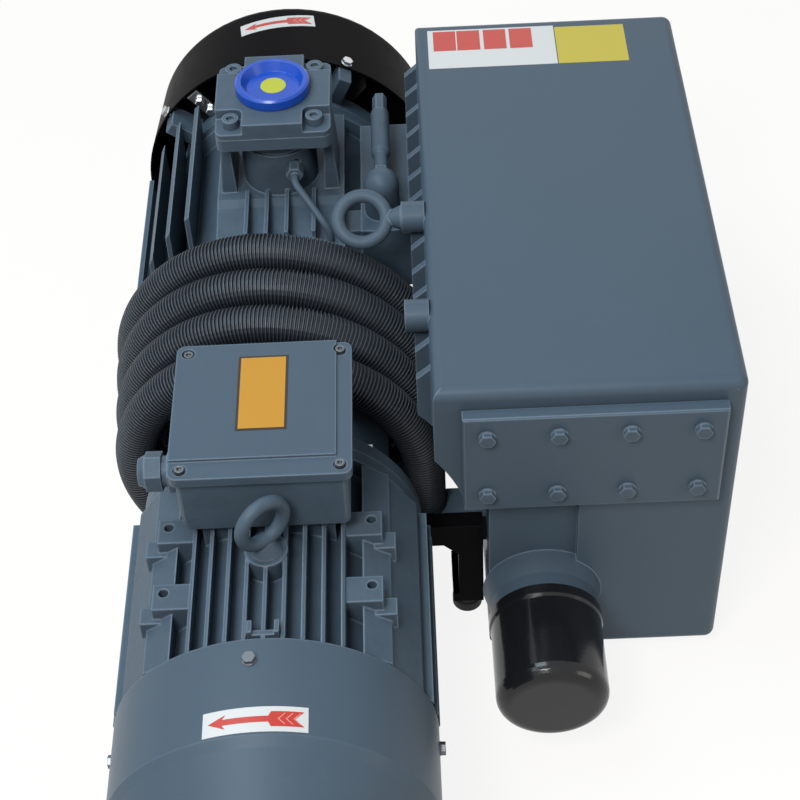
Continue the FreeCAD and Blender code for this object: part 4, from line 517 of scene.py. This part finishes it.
finishes = {
    "grey_paint": painted_sheet(),
    "black_paint": black_gloss("black_cowl_paint", cowl_black, 0.36, cowl_edge_highlight, black_paint_ior),
    "can_enamel": black_gloss("black_can_enamel", can_black, 0.1, can_edge_highlight, can_enamel_ior),
    "cooler_tube": plain_finish("cooler_black", coil_black, 0.5),
    "zinc_steel": plain_finish("zinc_plate", zinc_grey, 0.34, metallic=1.0),
    "bare_steel": plain_finish("machined_steel", steel_grey, 0.3, metallic=1.0),
    "cast_iron": plain_finish("cast_iron", iron_grey, 0.6, metallic=0.6, grain=160.0, depth=0.0006),
    "copper_winding": copper_wire(),
    "fan_plastic": plain_finish("fan_plastic", fan_grey, 0.5),
    "vane_composite": plain_finish("vane_composite", vane_brown, 0.7),
    "rubber": plain_finish("black_rubber", rubber_black, 0.75, grain=500.0),
    "filter_fibre": filter_fleece(),
    "sight_glass": clear_glass(),
    "blue_plastic": plain_finish("blue_plastic", plug_blue, 0.3, grain=120.0, depth=0.0001),
}
casting_paint = painted_casting()
dark_screws = plain_finish("blackened_steel", screw_dark, 0.36, metallic=0.7)
# Lighter finish for the fins' tips: a painted highlight
fin_tip_highlight = plain_finish("cooler_fin_painted_highlight", coil_fin_highlight, 0.42, metallic=0.4)
gauge_material = gauge_back()
white_film = printed_film("white_film", label_white)
red_film = printed_film("red_film", label_red)
pink_film = printed_film("pink_film", label_pink)
orange_film = printed_film("orange_film", label_orange)
dark_film = printed_film("dark_film", label_dark)
yellow_film = printed_film("yellow_film", label_yellow)
green_yellow_film = printed_film("green_yellow_film", disc_yellow)

dark_screw_nodes = ("terminal_box_screws", "motor_cowl_screws")
cast_nodes = (
    "motor_frame", "motor_flange_shield", "motor_end_shield", "motor_lifting_eye",
    "terminal_box_base", "coupling_housing", "pump_front_plate", "pump_cylinder",
    "pump_rear_plate", "inlet_flange", "gas_ballast_valve", "separator_lifting_eye",
    "ballast_pipe", "cable_gland", "cooler_fittings", "inlet_screws", "cover_bolts",
)


def dress_frame():
    """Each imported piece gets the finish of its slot, the casting paint or dark screw steel."""
    for part in frame["record"]["subparts"]:
        put_finish(frame["nodes"][part["node"]], finishes[part["material_slot"]])
    for name in cast_nodes:
        put_finish(frame["nodes"][name], casting_paint)
    for name in dark_screw_nodes:
        put_finish(frame["nodes"][name], dark_screws)


def put_finish(piece, material):
    if not piece.material_slots:
        piece.data.materials.append(material)
    for slot in piece.material_slots:
        slot.material = material


def new_piece(name, mesh, body, material):
    mesh.materials.append(material)
    piece = bpy.data.objects.new(name, mesh)
    bpy.context.scene.collection.objects.link(piece)
    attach(piece, body)
    return piece


def circle(centre, side, across, radius, corners):
    """Points round a centre, from side towards across."""
    points = []
    for number in range(corners):
        turn = math.tau * number / corners
        points.append(centre + (side * math.cos(turn) + across * math.sin(turn)) * radius)
    return points


def turned_rings(place, axis, profile, corners):
    """Circles that stand along an axis, one for each radius and rise of the profile."""
    side, across, up = Vector((0, 0, 1)).rotation_difference(Vector(axis)).to_matrix().col
    foot = Vector(place)
    return [circle(foot + up * rise, side, across, radius, corners) for radius, rise in profile]


def ring_mesh(name, rings, closed=False):
    """A mesh stretched over rings of points: closed on itself, or with a lid on each end."""
    corners = len(rings[0])
    vertices = [point for ring in rings for point in ring]
    faces = []
    for row in range(len(rings) if closed else len(rings) - 1):
        low = row * corners
        high = (row + 1) % len(rings) * corners
        for number in range(corners):
            after = (number + 1) % corners
            faces.append((low + number, low + after, high + after, high + number))
    if not closed:
        faces.append(tuple(reversed(range(corners))))
        faces.append(tuple(range(len(vertices) - corners, len(vertices))))
    mesh = bpy.data.meshes.new(name)
    mesh.from_pydata(vertices, [], faces)
    return mesh


def turn_about_shaft(half_turns):
    """Where the tube's centre line crosses the height of the shaft."""
    radius = coil_first_r + (coil_last_r - coil_first_r) * half_turns / coil_half_turns
    side = 1 if half_turns % 2 == 0 else -1
    y = housing_front + coil_first_top + (half_turns - 0.5) * coil_pitch / 2
    return Vector((shaft_x + coil_shift_x + side * radius, y, shaft_z))


def straight(start, end):
    def point(share):
        return start.lerp(end, share)
    return point


def half_circle(centre, arm, rise):
    def point(share):
        angle = math.pi * share
        return centre + arm * math.cos(angle) + Vector((0, 0, rise * math.sin(angle)))
    return point


def quarter_circle(centre, radius):
    def point(share):
        angle = math.pi / 2 * share
        return centre - Vector((radius * math.cos(angle), 0, radius * math.sin(angle)))
    return point


def coil_runs():
    """The tube's runs in order, each as its length and a function from 0…1 to a point."""
    first = turn_about_shaft(0)
    last = turn_about_shaft(coil_half_turns)
    start = Vector((first.x, first.y, coil_drop_z))
    runs = [((first - start).length, straight(start, first))]
    for number in range(coil_half_turns):
        a = turn_about_shaft(number)
        b = turn_about_shaft(number + 1)
        centre = (a + b) / 2
        radius = (b - a).length / 2
        rise = radius if number % 2 == 0 else -radius
        runs.append((math.pi * radius, half_circle(centre, a - centre, rise)))
    middle = Vector((shaft_x + coil_shift_x, last.y, shaft_z))
    radius = middle.x - last.x
    runs.append((math.pi / 2 * radius, quarter_circle(middle, radius)))
    bottom = middle - Vector((0, 0, radius))
    end = Vector((coil_run_end + shaft_x, bottom.y, bottom.z))
    runs.append(((end - bottom).length, straight(bottom, end)))
    return runs


def point_along(runs, distance):
    for length, point in runs:
        if distance <= length:
            return point(distance / length)
        distance -= length
    return runs[-1][1](1.0)


def fin_stations(total):
    """Distances along the tube with the radius at each, four for every fin."""
    fins = int(total / fin_pitch)
    stations = []
    for number in range(fins):
        for share, radius in fin_profile:
            stations.append(((number + share) * total / fins, radius))
    return stations


def cooler_tube():
    """The finned tube: close round fins on a bare tube, all along the winding, with a painted
    highlight on the fins' tips.
    """
    runs = coil_runs()
    stations = fin_stations(sum(length for length, point in runs))
    points = [point_along(runs, distance) for distance, radius in stations]
    rings = []
    side = Vector((0, 1, 0))
    for number, (distance, radius) in enumerate(stations):
        ahead = points[min(number + 1, len(points) - 1)]
        behind = points[max(number - 1, 0)]
        along = (ahead - behind).normalized()
        side = (side - along * side.dot(along)).normalized()
        rings.append(circle(points[number], side, along.cross(side), radius, fin_sides))
    mesh = ring_mesh("cooler_finned_tube", rings)
    tube = finishes["cooler_tube"]
    piece = new_piece("cooler_finned_tube", mesh, "machine", tube)
    # The fins' tips get the lighter finish: a painted highlight along their crests
    mesh.materials.append(fin_tip_highlight)
    for row in range(len(stations) - 1):
        if stations[row][1] == coil_tip_r and stations[row + 1][1] == coil_tip_r:
            for corner in range(fin_sides):
                mesh.polygons[row * fin_sides + corner].material_index = 1
    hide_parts("cooler_coil")


def flat_place(x, y, z):
    """Sticker coordinates on a level top: u to the right, v to the back, h upwards."""
    def place(u, v, h):
        return Vector((x + u, y + v, z + h))
    return place


def round_place(centre_u, centre_y, centre_r, taper, turn):
    """Sticker coordinates over a round cowl: u round it, v along the shaft, h outwards."""
    def place(u, v, h):
        across = centre_u + u * math.cos(turn) - v * math.sin(turn)
        back = u * math.sin(turn) + v * math.cos(turn)
        radius = centre_r - back * taper
        angle = across / radius
        outward = Vector((math.sin(angle), 0, math.cos(angle)))
        return Vector((shaft_x, centre_y + back, shaft_z)) + outward * (radius + h)
    return place


def sticker(name, outline, place, material, body="machine", level=0.0):
    """A thin closed film, cut into strips so that it follows what it is stuck on."""
    film = bmesh.new()
    film.faces.new([film.verts.new((u, v, level)) for u, v in outline])
    low = min(u for u, v in outline)
    high = max(u for u, v in outline)
    strips = max(int((high - low) / film_strip), 1)
    for number in range(1, strips):
        at = low + (high - low) * number / strips
        parts = film.verts[:] + film.edges[:] + film.faces[:]
        bmesh.ops.bisect_plane(film, geom=parts, plane_co=(at, 0, 0), plane_no=(1, 0, 0))
    raised = bmesh.ops.extrude_face_region(film, geom=film.faces[:], use_keep_orig=True)
    for part in raised["geom"]:
        if isinstance(part, bmesh.types.BMVert):
            part.co.z += film_thickness
    bmesh.ops.recalc_face_normals(film, faces=film.faces)
    for corner in film.verts:
        corner.co = place(*corner.co)
    mesh = bpy.data.meshes.new(name)
    film.to_mesh(mesh)
    film.free()
    return new_piece(name, mesh, body, material)


def oblong(left, right, front, back):
    return [(left, front), (right, front), (right, back), (left, back)]


def centred_oblong(half_u, half_v):
    return oblong(-half_u, half_u, -half_v, half_v)


def disc(radius, corners):
    turns = [math.tau * number / corners for number in range(corners)]
    return [(radius * math.cos(turn), radius * math.sin(turn)) for turn in turns]


def arrow_outline():
    """A long arrow that points to the left, with barbs and a feathered tail."""
    upper = [
        (arrow_barb_u, arrow_barb_half), (arrow_neck_u, arrow_shaft_half),
        (arrow_shaft_end_u, arrow_shaft_half), (arrow_tail_u0, arrow_tail_half),
        (arrow_tail_u1, arrow_tail_half)]
    lower = [(u, -v) for u, v in reversed(upper)]
    return [(arrow_tip_u, 0)] + upper + [(arrow_notch_u, 0)] + lower


def feather_outline(number):
    """One of the tail's pale lines: a chevron that points the same way as the arrow."""
    left = arrow_tail_u0 + feather_first + number * feather_pitch
    right = left + feather_width
    upper = [(left + feather_lean, feather_half), (right + feather_lean, feather_half)]
    lower = [(u, -v) for u, v in reversed(upper)]
    return [(left, 0)] + upper + [(right, 0)] + lower


def turning_arrow(name, place):
    """White film with the red arrow that shows how the shaft turns, and its pale feathers."""
    film = centred_oblong(arrow_film_length / 2, arrow_film_width / 2)
    sticker(name + "_film", film, place, white_film)
    arrow = arrow_outline()
    sticker(name + "_arrow", arrow, place, red_film, level=film_thickness)
    for number in range(feather_count):
        line_name = name + "_feather_" + str(number + 1)
        line = feather_outline(number)
        sticker(line_name, line, place, pink_film, level=2 * film_thickness)


def cowl_arrows():
    """The same arrow on the motor's straight cowl and on the far one, which tapers."""
    near_y = motor_cowl_back - arrow_from_rim
    near = round_place(motor_arrow_shift, near_y, motor_cowl_r, 0.0, motor_arrow_turn)
    turning_arrow("motor_cowl", near)
    taper = (pump_cowl_rim_r - pump_cowl_end_r) / pump_cowl_taper_length
    far_y = pump_cowl_low.y + arrow_from_rim
    far_r = pump_cowl_rim_r - arrow_from_rim * taper
    far = round_place(pump_arrow_shift, far_y, far_r, taper, pump_arrow_turn)
    turning_arrow("pump_cowl", far)


def lid_label():
    """Plain orange field with a dark border."""
    lid = flat_place(shaft_x, lid_low.y + lid_label_from_front, lid_high.z)
    border = centred_oblong(lid_border_half_u, lid_border_half_v)
    sticker("lid_label_border", border, lid, dark_film)
    field = centred_oblong(lid_field_half_u, lid_field_half_v)
    sticker("lid_label_field", field, lid, orange_film, level=film_thickness)


def separator_labels():
    """White strip with four plain red fields, and a plain yellow label beside it."""
    left = shaft_x + strip_from_shaft
    top = flat_place(left, separator_low.y + strip_from_front, separator_top_z)
    strip = oblong(0, strip_length, 0, strip_width)
    sticker("separator_strip", strip, top, white_film)
    front = strip_width * strip_fields_front
    back = strip_width * strip_fields_back
    for number, (start, end) in enumerate(strip_fields):
        field = oblong(start * strip_length, end * strip_length, front, back)
        name = "separator_field_" + str(number + 1)
        sticker(name, field, top, red_film, level=film_thickness)
    yellow_left = strip_length + yellow_gap
    yellow = oblong(yellow_left, yellow_left + yellow_length, 0, yellow_width)
    sticker("separator_yellow", yellow, top, yellow_film)


def plug_disc():
    """Yellow disc on the floor of the transport plug."""
    floor_z = plug_high.z - plug_rim_height + plug_floor
    floor = flat_place(plug_x + plug_disc_shift_x, plug_y + plug_disc_shift_y, floor_z)
    outline = disc(plug_disc_r, plug_disc_corners)
    sticker("plug_disc", outline, floor, green_yellow_film, "transport_plug")


def tab_bolt(name, place):
    """Hex head of zinc steel with a washer face and a turned-down crown, towards the front."""
    corner_r = bolt_flats / math.sqrt(3)
    washer_r = corner_r * 0.95
    washer_top = bolt_height * 0.08
    crown_foot = bolt_height * 0.82
    crown_r = bolt_flats * 0.46
    profile = [
        (washer_r, 0.0), (washer_r, washer_top), (corner_r, washer_top), (corner_r, crown_foot),
        (crown_r, bolt_height)]
    mesh = ring_mesh(name, turned_rings(place, (0, -1, 0), profile, 6))
    new_piece(name, mesh, "machine", finishes["zinc_steel"])


def cowl_tab():
    """Small zinc tab that ties the far cowl's rim to the rear plate, with its two bolts."""
    outward = Vector((math.cos(tab_angle), 0, math.sin(tab_angle)))
    half = Vector((-outward.z, 0, outward.x)) * tab_width / 2
    centre = Vector((shaft_x, pump_cowl_low.y - tab_setback, shaft_z))
    rings = []
    for y in (tab_thickness, 0.0):
        near = centre + outward * tab_r0 + Vector((0, y, 0))
        far = centre + outward * tab_r1 + Vector((0, y, 0))
        rings.append([near - half, far - half, far + half, near + half])
    mesh = ring_mesh("cowl_tab", rings)
    new_piece("cowl_tab", mesh, "machine", finishes["zinc_steel"])
    for number, radius in enumerate(tab_bolt_rs):
        tab_bolt("cowl_tab_bolt_" + str(number + 1), centre + outward * radius)


def ring_piece(name, centre, axis, outer_r, inner_r, depth, material):
    """A flat ring along an axis with softened edges on its far side."""
    soft = depth * 0.3
    inner_edge = depth * 0.6
    profile = [
        (inner_r, 0.0), (inner_r, inner_edge), (inner_r + soft, depth),
        (outer_r - soft, depth), (outer_r, depth - soft), (outer_r, 0.0)]
    rings = turned_rings(centre, axis, profile, ring_corners)
    return new_piece(name, ring_mesh(name, rings, closed=True), "machine", material)


def sight_glass_trim():
    """The screwed bezel over the glass and the gauge's back behind it."""
    zinc = finishes["zinc_steel"]
    front = (separator_high.x, gauge_y, gauge_z)
    ring_piece("sight_glass_bezel", front, (1, 0, 0), bezel_outer_r, bezel_inner_r, bezel_depth,
               zinc)
    back = (glass_low.x - gauge_behind_glass, gauge_y, gauge_z)
    ring_piece("oil_gauge", back, (1, 0, 0), gauge_r, gauge_hole_r, gauge_depth,
               gauge_material)


def cowl_shade_ring():
    """Painted shade: a dark ring behind the outer slots of the far cowl, so that no light shows
    through them where the cowl's inside lies in shade.
    """
    place = (shaft_x, pump_cowl_high.y - shade_ring_setback, shaft_z)
    ring_piece("cowl_shade_ring", place, (0, 1, 0), shade_ring_outer_r, shade_ring_inner_r, shade_ring_depth,
               finishes["black_paint"])


def valve_spring():
    """Small coil spring under the non-return disc, wound inside the box of the imported spring."""
    low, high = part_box("non_return_spring")
    centre = Vector(((low.x + high.x) / 2, (low.y + high.y) / 2, 0))
    radius = (high.x - low.x) / 2 - spring_wire_r
    foot = low.z + spring_wire_r
    rise = high.z - low.z - 2 * spring_wire_r
    up = Vector((0, 0, 1))
    steps = spring_turns * spring_steps
    rings = []
    for step in range(steps + 1):
        turn = math.tau * step / spring_steps
        outward = Vector((math.cos(turn), math.sin(turn), 0))
        middle = centre + outward * radius + up * (foot + rise * step / steps)
        rings.append(circle(middle, up, outward, spring_wire_r, spring_sides))
    mesh = ring_mesh("valve_spring", rings)
    spring = new_piece("valve_spring", mesh, "machine", finishes["bare_steel"])
    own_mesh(spring)
    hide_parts("non_return_spring")


def white_floor():
    """Level floor that the camera sees as white and that keeps the object's shadow."""
    corners = [(u, v, 0) for u, v in centred_oblong(floor_reach, floor_reach)]
    mesh = bpy.data.meshes.new("floor")
    mesh.from_pydata(corners, [], [(0, 1, 2, 3)])
    floor = bpy.data.objects.new("floor", mesh)
    bpy.context.scene.collection.objects.link(floor)
    shade = new_finish("floor_white")
    matt = shade.node("BsdfDiffuse", {}, {"Color": floor_white}, "BSDF")
    glow = shade.node("Emission", {}, {"Color": white, "Strength": 1.0}, "Emission")
    share = shade.seen() * floor_glow
    mixed = shade.node("MixShader", {}, {0: share, 1: matt, 2: glow}, "Shader")
    shade.node("OutputMaterial", {}, {"Surface": mixed})
    mesh.materials.append(shade.holder)


def surroundings():
    """White where the camera looks or a surface mirrors, and weaker as light on the object."""
    world = bpy.data.worlds.new("surroundings")
    bpy.context.scene.world = world
    around = Shader(world)
    strength = around.seen() * (1.0 - around_light) + around_light
    inputs = {"Color": white, "Strength": strength}
    background = around.node("Background", {}, inputs, "Background")
    around.node("OutputWorld", {}, {"Surface": background})


def lamp(name, place, target, size, watts, tint):
    """A square soft lamp that looks at a target."""
    data = bpy.data.lights.new(name, "AREA")
    data.size = size
    data.energy = watts
    data.color = tint
    made = bpy.data.objects.new(name, data)
    bpy.context.scene.collection.objects.link(made)
    made.location = place
    heading = Vector(target) - Vector(place)
    made.rotation_euler = heading.to_track_quat("-Z", "Y").to_euler()


def lamps():
    """A cool lamp over the left side, a strong one in front, weak ones on the right and behind."""
    lamp("lamp_over", place=(-0.9, 0.0, 2.5), target=(0.0, 0.05, 0.2),
         size=1.4, watts=46.0, tint=(0.76, 0.92, 1.0))
    lamp("lamp_front", place=(-0.5, -1.7, 2.5), target=(0.0, -0.1, 0.2),
         size=0.8, watts=56.0, tint=(1.0, 0.99, 0.98))
    lamp("lamp_right", place=(2.2, -1.3, 0.9), target=(0.2, 0.0, 0.15),
         size=1.0, watts=9.0, tint=(1.0, 0.95, 0.88))
    lamp("lamp_back", place=(0.6, 2.4, 1.8), target=(0.0, 0.1, 0.3),
         size=1.4, watts=5.0, tint=(1.0, 1.0, 1.0))


def camera():
    data = bpy.data.cameras.new("camera")
    data.lens = camera_lens_mm
    data.sensor_width = sensor_mm
    made = bpy.data.objects.new("camera", data)
    bpy.context.scene.collection.objects.link(made)
    heading = Matrix.Rotation(camera_heading, 4, "Z")
    dip = Matrix.Rotation(math.pi / 2 - camera_dip, 4, "X")
    roll = Matrix.Rotation(camera_roll, 4, "Z")
    made.matrix_world = Matrix.Translation(camera_place) @ heading @ dip @ roll
    bpy.context.scene.camera = made


camera()
white_floor()
lamps()
surroundings()
dress_frame()
cooler_tube()
cowl_arrows()
lid_label()
separator_labels()
plug_disc()
cowl_tab()
# Painted shade behind the far cowl's slots
cowl_shade_ring()
valve_spring()
sight_glass_trim()

bpy.context.scene.view_settings.view_transform = "Standard"
